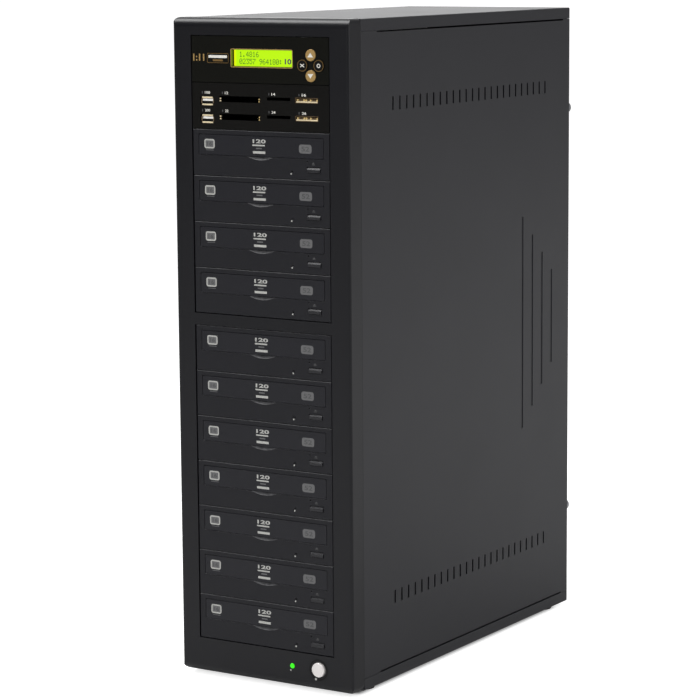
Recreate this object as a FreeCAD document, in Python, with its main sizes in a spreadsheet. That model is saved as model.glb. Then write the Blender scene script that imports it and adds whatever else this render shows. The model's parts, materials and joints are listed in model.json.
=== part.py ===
import FreeCAD, Part
import math
import os
import re

import Sketcher

# A disc duplicator tower: a tall steel case with a moulded front frame, a display panel, a card
# reader panel and a stack of half height disc drives, each with its own sliding tray.
#
# Every sub-part is modelled with X across, Y measured back from the front face of the moulded
# frame and Z up from the floor. place() then moves it so that the origin of the whole tower is
# the middle of its footprint, at the floor. Pieces that repeat in the bays are modelled with
# Z zero at the top edge of their bay.

SIZES = {
    # Bays and the case around them
    "bay_pitch": 42.5,
    "bay_gap": 0.6,
    "side_gap": 0.9,
    "side_margin": 20.0,
    "top_margin": 16.0,
    "mid_bar": 10.9,
    "bottom_margin": 33.4,
    "foot_height": 4.0,
    "metal_depth": 400.0,
    # Moulded front frame
    "bezel_depth": 20.0,
    "bezel_wall": 2.6,
    "bezel_step": 0.5,
    "bezel_top_round": 8.5,
    "bezel_bottom_round": 8.0,
    "bezel_side_round": 2.5,
    "bezel_corner_round": 4.0,
    "bezel_foot_round": 6.5,
    "skirt_wall": 1.6,
    "skirt_depth": 14.0,
    "boss_radius": 4.0,
    "boss_inset": 8.0,
    "boss_end_inset": 56.0,
    "seam": 1.0,
    # Sheet metal
    "sheet": 1.0,
    "bend_round": 1.5,
    "flange_drop": 11.0,
    "fold_width": 12.0,
    "slide_gap": 0.3,
    "panel_gap": 1.6,
    "panel_tongue": 28.0,
    "panel_tab": 14.0,
    "panel_fold": 10.0,
    "panel_travel": 18.0,
    "rear_fold": 10.0,
    # Vent slots and pressed lines of the side panels
    "slot_width": 2.6,
    "slot_length": 12.2,
    "slot_start": 76.0,
    "slot_end_inset": 52.2,
    "slot_row_inset": 66.5,
    "groove_width": 4.6,
    "groove_depth": 0.6,
    "groove_length": 212.0,
    "groove_step": 39.0,
    "groove_pitch": 20.3,
    "groove_rear_inset": 38.0,
    "groove_drop": 2.5,
    # Cage and screws
    "cage_length": 150.0,
    "cage_fit": 0.3,
    "wire_hole_radius": 9.0,
    "screw_head_radius": 2.8,
    "screw_head_height": 1.8,
    "screw_radius": 1.45,
    "screw_length": 6.0,
    "screw_hole_radius": 1.6,
    "screw_front": 52.0,
    "screw_back": 132.0,
    "screw_rise": 10.0,
    "thumb_head": 6.0,
    "thumb_radius": 6.0,
    "thumb_shank_radius": 2.0,
    "thumb_shank": 8.0,
    "thumb_hole_radius": 2.4,
    "thumb_inset": 6.0,
    "thumb_end_inset": 90.0,
    # Disc drives
    "front_inset": 0.3,
    "face_depth": 5.0,
    "face_round": 0.7,
    "face_overhang": 1.1,
    "case_gap": 0.6,
    "case_wall": 1.0,
    "ledge_reach": 3.8,
    "ledge_height": 3.0,
    "deck_width": 100.0,
    "deck_tail": 10.0,
    "deck_start": 34.0,
    "deck_height": 8.0,
    "spindle_radius": 12.0,
    "spindle_gap": 1.5,
    "door_top": 4.6,
    "door_margin": 6.6,
    "door_height": 18.2,
    "door_depth": 3.2,
    "door_gap": 0.45,
    "door_round": 1.2,
    "scoop_radius": 35.5,
    "scoop_drop": 3.4,
    "scoop_depth": 3.0,
    "scoop_reach": 18.0,
    "pinhole_radius": 0.6,
    "pinhole_dish": 1.7,
    "pinhole_dish_depth": 0.9,
    "pinhole_inset": 40.6,
    "lamp_radius": 0.7,
    "lamp_depth": 1.2,
    "lamp_inset": 23.4,
    "eject_width": 13.6,
    "eject_height": 4.4,
    "eject_inset": 16.8,
    "eject_depth": 8.0,
    "eject_proud": 0.9,
    "eject_round": 0.4,
    "eject_bevel_height": 1.9,
    "eject_bevel_depth": 1.4,
    "eject_gap": 0.45,
    # Disc trays
    "tray_inset": 2.7,
    "tray_lift": 4.3,
    "tray_plate": 5.5,
    "tray_rail": 1.5,
    "tray_rail_width": 4.8,
    "tray_length": 156.0,
    "tray_tail_gap": 9.8,
    "tray_rim": 4.3,
    "disc_radius": 60.5,
    "disc_recess": 2.4,
    "disc_front_rim": 4.0,
    "small_disc_radius": 40.6,
    "small_disc_recess": 1.4,
    "hub_radius": 19.0,
    "sled_slot_width": 26.0,
    "sled_slot_end": 9.0,
    # Display panel with its keys
    "panel_face": 3.0,
    "ear_wall": 2.0,
    "ear_margin": 0.4,
    "frame_tail": 7.3,
    "floor_start": 17.0,
    "display_left_inset": 43.5,
    "display_key_gap": 6.0,
    "display_rise": 1.4,
    "display_height": 15.6,
    "display_round": 1.5,
    "display_rim": 2.6,
    "glass_setback": 1.4,
    "glass_thickness": 1.8,
    "glass_back_gap": 1.0,
    "board": 1.6,
    "display_board_margin": 2.6,
    "key_ear_gap": 1.05,
    "key_cross_rise": 16.9,
    "key_gap_across": 3.4,
    "key_gap_up": 4.0,
    "key_radius": 5.25,
    "key_proud": 0.7,
    "key_round": 0.5,
    "key_flange": 0.75,
    "key_gap": 0.3,
    "flange_thickness": 1.0,
    "key_travel": 1.0,
    "switch_size": 6.0,
    "switch_body": 2.5,
    "switch_plunger": 1.0,
    "switch_plunger_radius": 1.7,
    "keypad_margin": 6.2,
    "peg_radius": 1.5,
    # Controller board
    "control_board_inset": 9.0,
    "control_board_depth": 84.0,
    "control_board_start": 22.0,
    "standoff_height": 3.0,
    "standoff_radius": 3.0,
    "plug_width": 14.0,
    "plug_depth": 9.0,
    "plug_height": 7.0,
    "plug_pitch": 19.0,
    "chip_size": 26.0,
    "chip_height": 2.4,
    # Card reader panel
    "reader_board_depth": 58.0,
    "reader_board_gap": 0.25,
    "socket_wall": 1.0,
    "socket_fit": 0.3,
    "usb_width": 14.4,
    "usb_height": 6.8,
    "usb_depth": 18.0,
    "usb_wall": 0.5,
    "usb_tongue_width": 11.0,
    "usb_tongue_height": 1.9,
    "usb_tongue_inset": 1.0,
    "large_card_width": 43.8,
    "large_card_height": 5.0,
    "large_card_depth": 36.0,
    "large_card_rise": 5.6,
    "flat_card_width": 24.6,
    "flat_card_height": 2.3,
    "flat_card_depth": 28.0,
    "flat_card_rise": 6.85,
    "stick_card_width": 23.2,
    "stick_card_height": 3.6,
    "stick_card_depth": 30.0,
    "stick_card_rise": 6.4,
    # Power button and lamp
    "control_drop": 13.7,
    "power_inset": 37.1,
    "power_radius": 6.8,
    "power_proud": 1.8,
    "power_round": 1.2,
    "power_flange": 1.4,
    "power_travel": 2.5,
    "power_recess": 1.2,
    "power_recess_depth": 0.9,
    "power_switch": 12.0,
    "power_switch_body": 6.0,
    "power_board_end": 8.0,
    "power_board_height": 20.0,
    "lamp_dome_radius": 2.5,
    "lamp_dome_proud": 1.4,
    "lamp_dome_round": 2.2,
    "lamp_body": 5.0,
    "lamp_flange": 0.5,
    "lamp_fit": 0.05,
    "lead_radius": 0.4,
    "lead_spread": 1.27,
    "power_lamp_gap": 28.9,
    # Power supply
    "supply_side_gap": 19.5,
    "supply_height": 86.0,
    "supply_length": 140.0,
    "supply_wall": 0.8,
    "supply_rim": 6.0,
    "supply_fan_inset": 45.0,
    "supply_rotor_rim": 7.0,
    "supply_hub_radius": 14.0,
    "supply_rotor_width": 14.0,
    "grille_ring": 2.0,
    "grille_inset": 1.0,
    "grille_spoke": 4.0,
    "spindle_pin_radius": 2.0,
    "running_fit": 0.05,
    "rotor_gap": 2.0,
    "blade_thickness": 1.5,
    "inlet_inset": 29.0,
    "inlet_width": 27.0,
    "inlet_height": 20.0,
    "inlet_depth": 20.0,
    "inlet_lip": 2.4,
    "inlet_lip_thickness": 2.0,
    "inlet_wall": 1.5,
    "inlet_cavity_depth": 16.0,
    "pin_length": 13.0,
    "pin_width": 2.0,
    "pin_height": 4.0,
    "pin_spread": 7.0,
    "pin_rise": 2.0,
    "rocker_width": 12.0,
    "rocker_height": 19.0,
    "rocker_depth": 8.0,
    "rocker_proud": 1.6,
    "rocker_tilt": 9.0,
    "rocker_wall": 2.0,
    "rocker_gap": 0.6,
    "rocker_pin_radius": 1.2,
    # Rear fan
    "fan_size": 120.0,
    "fan_depth": 25.0,
    "fan_rise": 420.0,
    "fan_rim": 3.0,
    "blade_tip_gap": 2.0,
    "fan_hub_radius": 19.0,
    "fan_rotor_width": 18.0,
    "fan_hole_inset": 7.5,
    "fan_plate": 3.0,
    "fan_strut": 6.0,
    # Feet
    "foot_radius": 11.0,
    "foot_taper": 1.0,
    "foot_side_inset": 16.0,
    "foot_front_inset": 24.0,
    "foot_rear_inset": 26.0,
    "foot_bore_radius": 4.2,
    "foot_bore_depth": 2.2,
    # One overrun for every cut
    "overrun": 1.0,
}

UPPER_BAYS = 6
LOWER_BAYS = 7
PANEL_BAYS = 2
SLOTS_IN_A_ROW = 25
GROOVES = 4
SUPPLY_BLADES = 7
FAN_BLADES = 7
SUPPLY_RINGS = 3
FAN_RINGS = 5
SOCKET_PLUGS = 6
BLADE_PITCH_DEGREES = 45
BLADE_CHORD_SHARE = 0.9
BLADE_BACK_SHARE = 0.78
BLADE_LOW_SHARE = 0.32

# Places across a panel, as shares of its half width, and places down a panel, as shares of its
# height. The last three run from a drive door's lower edge down to the foot of the drive's face.
SLOT_SIDE_SHARES = {
    "usb": -0.7814,
    "large_card": -0.2996,
    "flat_card": 0.274,
    "stick_card": 0.6802,
}
READER_ROW_SHARES = (0.4761, 0.8628)
INLET_RISE_SHARE = 0.721
ROCKER_RISE_SHARE = 0.3256
EJECT_SHARE = 0.5367
PINHOLE_SHARE = 0.6649
LAMP_SHARE = 0.1518

doc = FreeCAD.newDocument("duplicator_tower")
sheet = doc.addObject("Spreadsheet::Sheet", "sizes")
for row, (alias, size) in enumerate(SIZES.items(), start=1):
    sheet.set(f"A{row}", alias)
    sheet.set(f"B{row}", str(size))
    sheet.setAlias(f"B{row}", alias)
doc.recompute()


# Expressions and small helpers


def linked(expression):
    """The expression with each size's name pointed at the sheet."""
    return re.sub(
        r"[a-z_]+",
        lambda word: "sizes." + word[0] if word[0] in SIZES else word[0],
        str(expression),
    )


def number(expression):
    """The value of an expression now, in millimetres."""
    return float(sheet.evalExpression(linked(expression)))


def bind(thing, prop, expression):
    """Drives one property of an object by the sheet."""
    thing.setExpression(prop, linked(expression))


def move(thing, x=None, y=None, z=None):
    """Drives the place of an object by the sheet."""
    for axis, place_on_axis in zip("xyz", (x, y, z)):
        if place_on_axis is not None:
            bind(thing, "Placement.Base." + axis, place_on_axis)
    return thing


def box(name, x, y, z):
    """A block between two places on each axis."""
    block = doc.addObject("Part::Box", name)
    for side, (low, high) in zip(("Length", "Width", "Height"), (x, y, z)):
        bind(block, side, f"({high}) - ({low})")
    return move(block, x[0], y[0], z[0])


TURNS = {
    "x": FreeCAD.Rotation(FreeCAD.Vector(0, 1, 0), 90),
    "y": FreeCAD.Rotation(FreeCAD.Vector(1, 0, 0), -90),
    "z": FreeCAD.Rotation(),
}


def lay(solid, axis, start, centre):
    """Puts a round solid's own axis along X, Y or Z, from start, through the centre."""
    solid.Placement = FreeCAD.Placement(FreeCAD.Vector(), TURNS[axis])
    places = list(centre)
    places.insert("xyz".index(axis), start)
    return move(solid, *places)


def rod(name, axis, start, end, centre, radius):
    """A cylinder along an axis. The centre holds its places on the two other axes, in order."""
    cylinder = doc.addObject("Part::Cylinder", name)
    bind(cylinder, "Radius", radius)
    bind(cylinder, "Height", f"({end}) - ({start})")
    return lay(cylinder, axis, start, centre)


def cone(name, axis, start, end, centre, radius, end_radius):
    """A cone along an axis, laid like a rod."""
    tapered = doc.addObject("Part::Cone", name)
    bind(tapered, "Radius1", radius)
    bind(tapered, "Radius2", end_radius)
    bind(tapered, "Height", f"({end}) - ({start})")
    return lay(tapered, axis, start, centre)


def both(half):
    """The two places of something that is centred on zero."""
    return (f"-({half})", half)


def around(middle, width):
    """The two places of something of that width around a middle."""
    return (f"({middle}) - ({width}) / 2", f"({middle}) + ({width}) / 2")


def fuse(name, pieces):
    """One solid of several that meet."""
    joined = doc.addObject("Part::MultiFuse", name)
    joined.Shapes = pieces
    joined.Refine = True
    return joined


def group(name, pieces):
    """Several separate solids as one object."""
    compound = doc.addObject("Part::Compound", name)
    compound.Links = pieces
    return compound


def cut(name, base, tools):
    """The base with every tool taken out of it. Tools that cross each other are fused first."""
    removed = doc.addObject("Part::Cut", name)
    removed.Base = base
    removed.Tool = tools[0] if len(tools) == 1 else fuse(name + "_tools", tools)
    removed.Refine = True
    return removed


def cut_apart(name, base, tools):
    """The base with tools taken out that don't touch each other."""
    removed = doc.addObject("Part::Cut", name)
    removed.Base = base
    removed.Tool = group(name + "_tools", tools)
    return removed


def overlap(name, pieces):
    """What several solids have in common."""
    common = doc.addObject("Part::MultiCommon", name)
    common.Shapes = pieces
    return common


def edges_where(shape, test):
    """The numbers of the edges whose direction and middle pass the test."""
    found = []
    for index, edge in enumerate(shape.Edges, start=1):
        middle = edge.CenterOfMass
        run = edge.Vertexes[-1].Point - edge.Vertexes[0].Point
        if test(run, middle):
            found.append(index)
    return found


def runs_along(run, axis):
    """True for an edge that runs along that axis."""
    return run.Length > 0 and abs(abs(run[axis]) - run.Length) < run.Length * 1e-6


def rounded(name, block, radius, test):
    """A solid with the edges that pass the test rounded."""
    doc.recompute()
    fillet = doc.addObject("Part::Fillet", name)
    fillet.Base = block
    size = number(radius)
    fillet.Edges = [(index, size, size) for index in edges_where(block.Shape, test)]
    return fillet


def copy(name, master, rotation=None, **places):
    """The master's shape at another place."""
    twin = group(name, [master])
    if rotation is not None:
        twin.Placement = FreeCAD.Placement(FreeCAD.Vector(), rotation)
    return move(twin, **places)


# Sketched bodies


def start_body(name):
    """An empty body with its sketch plane roles at hand."""
    return doc.addObject("PartDesign::Body", name)


def sketch_on(body, name, role, offset="0"):
    """A sketch on one of the body's own planes, moved along the plane's normal."""
    sketch = body.newObject("Sketcher::SketchObject", name)
    base_plane = next(f for f in body.Origin.OriginFeatures if f.Role == role)
    sketch.AttachmentSupport = [(base_plane, "")]
    sketch.MapMode = "FlatFace"
    bind(sketch, "AttachmentOffset.Base.z", offset)
    return sketch


def draw_outline(sketch, points):
    """A closed outline of straight lines, each corner driven by two expressions."""
    first = sketch.GeometryCount
    corners = [FreeCAD.Vector(number(across), number(up), 0) for across, up in points]
    for start, end in zip(corners, corners[1:] + corners[:1]):
        sketch.addGeometry(Part.LineSegment(start, end))
    for step, (corner, (across, up)) in enumerate(zip(corners, points)):
        after = first + (step + 1) % len(points)
        sketch.addConstraint(Sketcher.Constraint("Coincident", first + step, 2, after, 1))
        for kind, place_now, expression in (
            ("DistanceX", corner.x, across),
            ("DistanceY", corner.y, up),
        ):
            index = sketch.addConstraint(
                Sketcher.Constraint(kind, -1, 1, first + step, 1, place_now)
            )
            bind(sketch, f"Constraints[{index}]", expression)


def draw_block(sketch, across, up):
    """A rectangle between two places on each of the sketch's axes."""
    (left, right), (low, high) = across, up
    draw_outline(sketch, [(left, low), (right, low), (right, high), (left, high)])


def draw_circle(sketch, across, up, radius):
    """A circle driven by its centre and radius."""
    centre = FreeCAD.Vector(number(across), number(up), 0)
    shape = Part.Circle(centre, FreeCAD.Vector(0, 0, 1), number(radius))
    circle = sketch.addGeometry(shape)
    for kind, place_now, expression in (
        ("DistanceX", centre.x, across),
        ("DistanceY", centre.y, up),
    ):
        index = sketch.addConstraint(
            Sketcher.Constraint(kind, -1, 1, circle, 3, place_now)
        )
        bind(sketch, f"Constraints[{index}]", expression)
    index = sketch.addConstraint(Sketcher.Constraint("Radius", circle, number(radius)))
    bind(sketch, f"Constraints[{index}]", radius)


def pad(body, name, sketch, length, backwards=False):
    """Material raised from a sketch."""
    raised = body.newObject("PartDesign::Pad", name)
    raised.Profile = sketch
    raised.Reversed = backwards
    bind(raised, "Length", length)
    return raised


def pocket(body, name, sketch, depth, backwards=False):
    """Material taken out from a sketch. It has to make the body smaller."""
    doc.recompute()
    before = body.Shape.Volume
    sunk = body.newObject("PartDesign::Pocket", name)
    sunk.Profile = sketch
    sunk.Reversed = backwards
    bind(sunk, "Length", depth)
    doc.recompute()
    if body.Shape.Volume >= before:
        raise RuntimeError(f"pocket {name} takes nothing away")
    return sunk


def soften(body, name, radius, test):
    """The edges of the body's last feature that pass the test, rounded."""
    doc.recompute()
    base = body.Tip
    fillet = body.newObject("PartDesign::Fillet", name)
    fillet.Base = (base, [f"Edge{i}" for i in edges_where(base.Shape, test)])
    bind(fillet, "Radius", radius)
    return fillet


def turned(name, role, points):
    """A round body about the second axis of its sketch, from an outline of radius and height."""
    body = start_body(name)
    sketch = sketch_on(body, name + "_outline", role)
    draw_outline(sketch, points)
    lathe = body.newObject("PartDesign::Revolution", name + "_turn")
    lathe.Profile = sketch
    lathe.ReferenceAxis = (sketch, ["V_Axis"])
    lathe.Angle = 360
    doc.recompute()
    return body


# Places that several pieces share

TRAY_HALF = "(disc_radius + tray_rim)"
DOOR_HALF = f"({TRAY_HALF} + tray_inset)"
FACE_HALF = f"({DOOR_HALF} + door_margin)"
CASE_HALF = f"({FACE_HALF} - face_overhang)"
BAY_HALF = f"({FACE_HALF} + side_gap)"
FACE_HEIGHT = "(bay_pitch - bay_gap)"
CASE_HEIGHT = "(bay_pitch - 2 * case_gap)"
BEZEL_HALF = f"({BAY_HALF} + side_margin)"
METAL_HALF = f"({BEZEL_HALF} - bezel_step)"
INNER_HALF = f"({METAL_HALF} - sheet)"
LOWER_BOTTOM = "(foot_height + bottom_margin)"
LOWER_TOP = f"({LOWER_BOTTOM} + {LOWER_BAYS} * bay_pitch + bay_gap)"
UPPER_BOTTOM = f"({LOWER_TOP} + mid_bar)"
UPPER_TOP = f"({UPPER_BOTTOM} + {UPPER_BAYS} * bay_pitch + bay_gap)"
CASE_TOP = f"({UPPER_TOP} + top_margin)"
METAL_TOP = f"({CASE_TOP} - bezel_step)"
METAL_FRONT = "(bezel_depth + seam)"
METAL_REAR = f"({METAL_FRONT} + metal_depth)"
REAR_SKIN_OUT = f"({METAL_REAR} - sheet - slide_gap)"
REAR_SKIN_IN = f"({REAR_SKIN_OUT} - sheet)"
CAGE_FRONT = METAL_FRONT
CAGE_BACK = f"({METAL_FRONT} + sheet)"
CAGE_HALF = f"({CASE_HALF} + cage_fit)"
FACE_BACK = "(front_inset + panel_face)"
CONTROL_HEIGHT = f"({LOWER_BOTTOM} - control_drop)"
POWER_SIDE = f"({BEZEL_HALF} - power_inset)"
POWER_LAMP_SIDE = f"({POWER_SIDE} - power_lamp_gap)"
SCREW_DROP = f"(bay_gap / 2 + {CASE_HEIGHT} - screw_rise)"
WINDOWS = ((UPPER_BOTTOM, UPPER_TOP), (LOWER_BOTTOM, LOWER_TOP))
BAYS = UPPER_BAYS + LOWER_BAYS
FOOTPRINT_MIDDLE = "(power_proud - (power_proud + " + METAL_REAR + " + thumb_head) / 2)"


def bay_top(bay):
    """The height of the top edge of a bay's front, counted from zero at the top."""
    if bay < UPPER_BAYS:
        return f"({UPPER_TOP} - bay_gap - {bay} * bay_pitch)"
    return f"({LOWER_TOP} - bay_gap - {bay - UPPER_BAYS} * bay_pitch)"


parts = []


def place(name, piece, height="0"):
    """Names a sub-part and puts it in the frame of the whole tower."""
    piece.Label = name
    move(piece, y=FOOTPRINT_MIDDLE, z=height)
    parts.append(piece)
    return piece


# Moulded front frame


def make_front_bezel():
    """A hollow moulding with two windows, skirts behind them, bosses and the control holes."""
    span = (both(BEZEL_HALF), ("0", "bezel_depth"), ("foot_height", CASE_TOP))
    middle = number(f"({CASE_TOP} + foot_height) / 2")
    near_front = number("bezel_depth") / 2

    def front_across(run, spot):
        return runs_along(run, 0) and spot.y < near_front

    top = rounded(
        "bezel_top_edge",
        box("bezel_block", *span),
        "bezel_top_round",
        lambda run, spot: front_across(run, spot) and spot.z > middle,
    )
    top_and_bottom = rounded(
        "bezel_bottom_edge",
        top,
        "bezel_bottom_round",
        lambda run, spot: front_across(run, spot) and spot.z < middle / 2,
    )
    sides = rounded(
        "bezel_side_edges",
        box("bezel_side_block", *span),
        "bezel_side_round",
        lambda run, spot: runs_along(run, 2) and spot.y < near_front,
    )
    top_corners = rounded(
        "bezel_top_corners",
        box("bezel_corner_block", *span),
        "bezel_corner_round",
        lambda run, spot: runs_along(run, 1) and spot.z > middle,
    )
    corners = rounded(
        "bezel_corners",
        top_corners,
        "bezel_foot_round",
        lambda run, spot: runs_along(run, 1) and spot.z < middle,
    )
    outside = overlap("bezel_outside", [top_and_bottom, sides, corners])

    hollow = box(
        "bezel_hollow",
        both(f"{BEZEL_HALF} - bezel_wall"),
        ("bezel_wall", "bezel_depth + overrun"),
        ("foot_height + bezel_wall", f"{CASE_TOP} - bezel_wall"),
    )
    skirts = [
        box(
            f"bezel_skirt_{index}",
            both(f"{BAY_HALF} + skirt_wall"),
            ("0", "skirt_depth"),
            (f"{low} - skirt_wall", f"{high} + skirt_wall"),
        )
        for index, (low, high) in enumerate(WINDOWS)
    ]
    shell = cut("bezel_shell", outside, [cut("bezel_space", hollow, skirts)])

    bosses = []
    boss_holes = []
    for index, (side, height) in enumerate(bezel_screw_places()):
        bosses.append(
            rod(
                f"bezel_boss_{index}",
                "y",
                "bezel_wall / 2",
                METAL_FRONT,
                (side, height),
                "boss_radius",
            )
        )
        boss_holes.append(
            rod(
                f"bezel_boss_hole_{index}",
                "y",
                f"{CAGE_BACK} - screw_length - overrun",
                f"{METAL_FRONT} + overrun",
                (side, height),
                "screw_hole_radius",
            )
        )
    for index, (side, height) in enumerate(power_board_pegs()):
        bosses.append(
            rod(
                f"bezel_peg_{index}",
                "y",
                "bezel_wall / 2",
                POWER_BOARD_FRONT,
                (side, height),
                "peg_radius",
            )
        )
    solid = fuse("bezel_solid", [shell, *bosses])
    windows = [
        box(
            f"bezel_window_{index}",
            both(BAY_HALF),
            ("-overrun", "skirt_depth + overrun"),
            (low, high),
        )
        for index, (low, high) in enumerate(WINDOWS)
    ]
    through = ("-overrun", "bezel_wall + overrun")
    button_spot = (POWER_SIDE, CONTROL_HEIGHT)
    lamp_spot = (POWER_LAMP_SIDE, CONTROL_HEIGHT)
    lamp_hole = rod(
        "lamp_hole", "y", *through, lamp_spot, "lamp_dome_radius + lamp_fit"
    )
    button_hole = fuse(
        "button_hole",
        [
            rod("button_bore", "y", *through, button_spot, "power_radius + key_gap"),
            rod(
                "button_recess",
                "y",
                "-overrun",
                "power_recess_depth",
                button_spot,
                "power_radius + power_recess",
            ),
        ],
    )
    return cut_apart(
        "bezel_finished", solid, [*windows, *boss_holes, lamp_hole, button_hole]
    )


def bezel_screw_places():
    """Where the screws from the cage's front plate reach the frame: three on each side."""
    side = f"({BEZEL_HALF} - bezel_wall - boss_inset)"
    low = "(foot_height + boss_end_inset)"
    high = f"({CASE_TOP} - boss_end_inset)"
    heights = (low, f"(({low} + {high}) / 2)", high)
    return [(f"({sign}{side})", height) for sign in ("-", "") for height in heights]


# Power button, lamp and their board

POWER_FLANGE_BACK = "(bezel_wall + key_gap + flange_thickness)"
POWER_SWITCH_FRONT = f"({POWER_FLANGE_BACK} + power_travel + key_gap)"
POWER_BOARD_FRONT = f"({POWER_SWITCH_FRONT} + power_switch_body)"
POWER_BOARD_SPAN = (
    f"({POWER_LAMP_SIDE} - power_board_end)",
    f"({POWER_SIDE} + power_switch / 2 + power_board_end)",
)


def power_board_pegs():
    """The two pegs of the front frame that hold the power board, clear of button and lamp."""
    middle = f"(({POWER_LAMP_SIDE} + {POWER_SIDE} - power_radius) / 2)"
    right = f"({POWER_BOARD_SPAN[1]} - peg_radius)"
    return [(middle, CONTROL_HEIGHT), (right, CONTROL_HEIGHT)]


def make_power_button():
    """A round button with a softened face and a flange behind the front wall."""
    flange = "(power_radius + power_flange)"
    button = turned(
        "power_button_body",
        "XY_Plane",
        [
            ("0", "-power_proud"),
            ("power_radius", "-power_proud"),
            ("power_radius", "bezel_wall + key_gap"),
            (flange, "bezel_wall + key_gap"),
            (flange, POWER_FLANGE_BACK),
            ("0", POWER_FLANGE_BACK),
        ],
    )
    face = number("-power_proud")
    edge_reach = number("power_proud") / 2
    soften(
        button,
        "power_button_edge",
        "power_round",
        lambda run, spot: run.Length == 0 and abs(spot.y - face) < edge_reach,
    )
    return move(copy("power_button_placed", button), x=POWER_SIDE)


def make_power_lamp():
    """A domed lamp with a flange and two leads that reach the board."""
    radius = "lamp_dome_radius"
    lamp = turned(
        "power_lamp_body",
        "XY_Plane",
        [
            ("0", "-lamp_dome_proud"),
            (radius, "-lamp_dome_proud"),
            (radius, "bezel_wall"),
            (f"{radius} + lamp_flange", "bezel_wall"),
            (f"{radius} + lamp_flange", "bezel_wall + flange_thickness"),
            (radius, "bezel_wall + flange_thickness"),
            (radius, "bezel_wall + lamp_body"),
            ("0", "bezel_wall + lamp_body"),
        ],
    )
    dome = number("-lamp_dome_proud")
    edge_reach = number("lamp_dome_proud") / 2
    soften(
        lamp,
        "power_lamp_dome",
        "lamp_dome_round",
        lambda run, spot: run.Length == 0 and abs(spot.y - dome) < edge_reach,
    )
    leads = [
        rod(
            f"power_lamp_lead_{index}",
            "y",
            "bezel_wall + lamp_body / 2",
            POWER_BOARD_FRONT,
            (f"{sign}lead_spread", "0"),
            "lead_radius",
        )
        for index, sign in enumerate(("-", ""))
    ]
    placed = copy("power_lamp_placed", fuse("power_lamp_solid", [lamp, *leads]))
    return move(placed, x=POWER_LAMP_SIDE)


def make_power_board():
    """The small board behind the lower front, with the power switch on it."""
    board = box(
        "power_board_plate",
        POWER_BOARD_SPAN,
        (POWER_BOARD_FRONT, f"{POWER_BOARD_FRONT} + board"),
        around(CONTROL_HEIGHT, "power_board_height"),
    )
    switch = box(
        "power_switch_block",
        around(POWER_SIDE, "power_switch"),
        (POWER_SWITCH_FRONT, POWER_BOARD_FRONT),
        around(CONTROL_HEIGHT, "power_switch"),
    )
    return fuse("power_board", [board, switch])


# Sheet metal case

FOLD_START = f"({CAGE_BACK} + slide_gap)"
FOLD_END = f"({REAR_SKIN_IN} - slide_gap)"


def make_channel(name, outer, inward):
    """A wide channel: a plate with two side flanges, each folded in again at its free edge.

    outer is the height of the plate's outer face, and inward is a minus or plus sign, towards
    the inside of the case. The folds stop short of the cage's front plate and of the rear wall.
    """
    skin = f"{outer} {inward} sheet"
    fold_out = f"{outer} {inward} flange_drop"
    fold_in = f"{outer} {inward} (flange_drop - sheet)"
    half = METAL_HALF
    inner = INNER_HALF
    fold = f"({METAL_HALF} - fold_width)"
    body = start_body(name + "_body")
    outline = sketch_on(body, name + "_outline", "XZ_Plane", f"-{METAL_FRONT}")
    draw_outline(
        outline,
        [
            (f"-{half}", outer),
            (half, outer),
            (half, fold_out),
            (fold, fold_out),
            (fold, fold_in),
            (inner, fold_in),
            (inner, skin),
            (f"-{inner}", skin),
            (f"-{inner}", fold_in),
            (f"-{fold}", fold_in),
            (f"-{fold}", fold_out),
            (f"-{half}", fold_out),
        ],
    )
    pad(body, name + "_metal", outline, "metal_depth", backwards=True)
    low, high = sorted((fold_in, fold_out), key=number)
    notch = (f"{low} - overrun / 2", f"{high} + overrun / 2")
    for end, start, depth, backwards in (
        ("front", METAL_FRONT, f"{FOLD_START} - {METAL_FRONT}", False),
        ("rear", METAL_REAR, f"{METAL_REAR} - {FOLD_END}", True),
    ):
        notches = sketch_on(body, f"{name}_{end}_notches", "XZ_Plane", f"-{start}")
        draw_block(notches, (fold + " - overrun", inner), notch)
        draw_block(notches, (f"-{inner}", f"-{fold} + overrun"), notch)
        pocket(body, f"{name}_{end}_fold_ends", notches, depth, backwards)
    level = number(outer)
    near = number("sheet") / 2
    soften(
        body,
        name + "_bends",
        "bend_round",
        lambda run, spot: runs_along(run, 1) and abs(spot.z - level) < near,
    )
    return body


def make_top_cover():
    """The top of the case, folded down over the side panels' upper edges."""
    return make_channel("top_channel", METAL_TOP, "-")


def foot_places():
    """The middles of the four feet."""
    side = f"({METAL_HALF} - foot_side_inset)"
    front = f"({METAL_FRONT} + foot_front_inset)"
    rear = f"({METAL_REAR} - foot_rear_inset)"
    return [(f"({sign}{side})", depth) for sign in ("-", "") for depth in (front, rear)]


def make_base_pan():
    """The bottom of the case, folded up at the sides, with the screw holes of its feet."""
    channel = make_channel("base_channel", "foot_height", "+")
    holes = [
        rod(
            f"foot_screw_hole_{index}",
            "z",
            "foot_height - overrun",
            "foot_height + sheet + overrun",
            spot,
            "screw_hole_radius",
        )
        for index, spot in enumerate(foot_places())
    ]
    return cut_apart("base_pan_drilled", channel, holes)


def thumb_screw_heights():
    """The heights of the thumb screws of a side panel."""
    return (
        "(foot_height + flange_drop + thumb_end_inset)",
        f"({METAL_TOP} - flange_drop - thumb_end_inset)",
    )


THUMB_SIDE = f"({INNER_HALF} - thumb_inset)"
PANEL_LOW = "(foot_height + flange_drop + panel_gap)"
PANEL_HIGH = f"({METAL_TOP} - flange_drop - panel_gap)"


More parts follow.
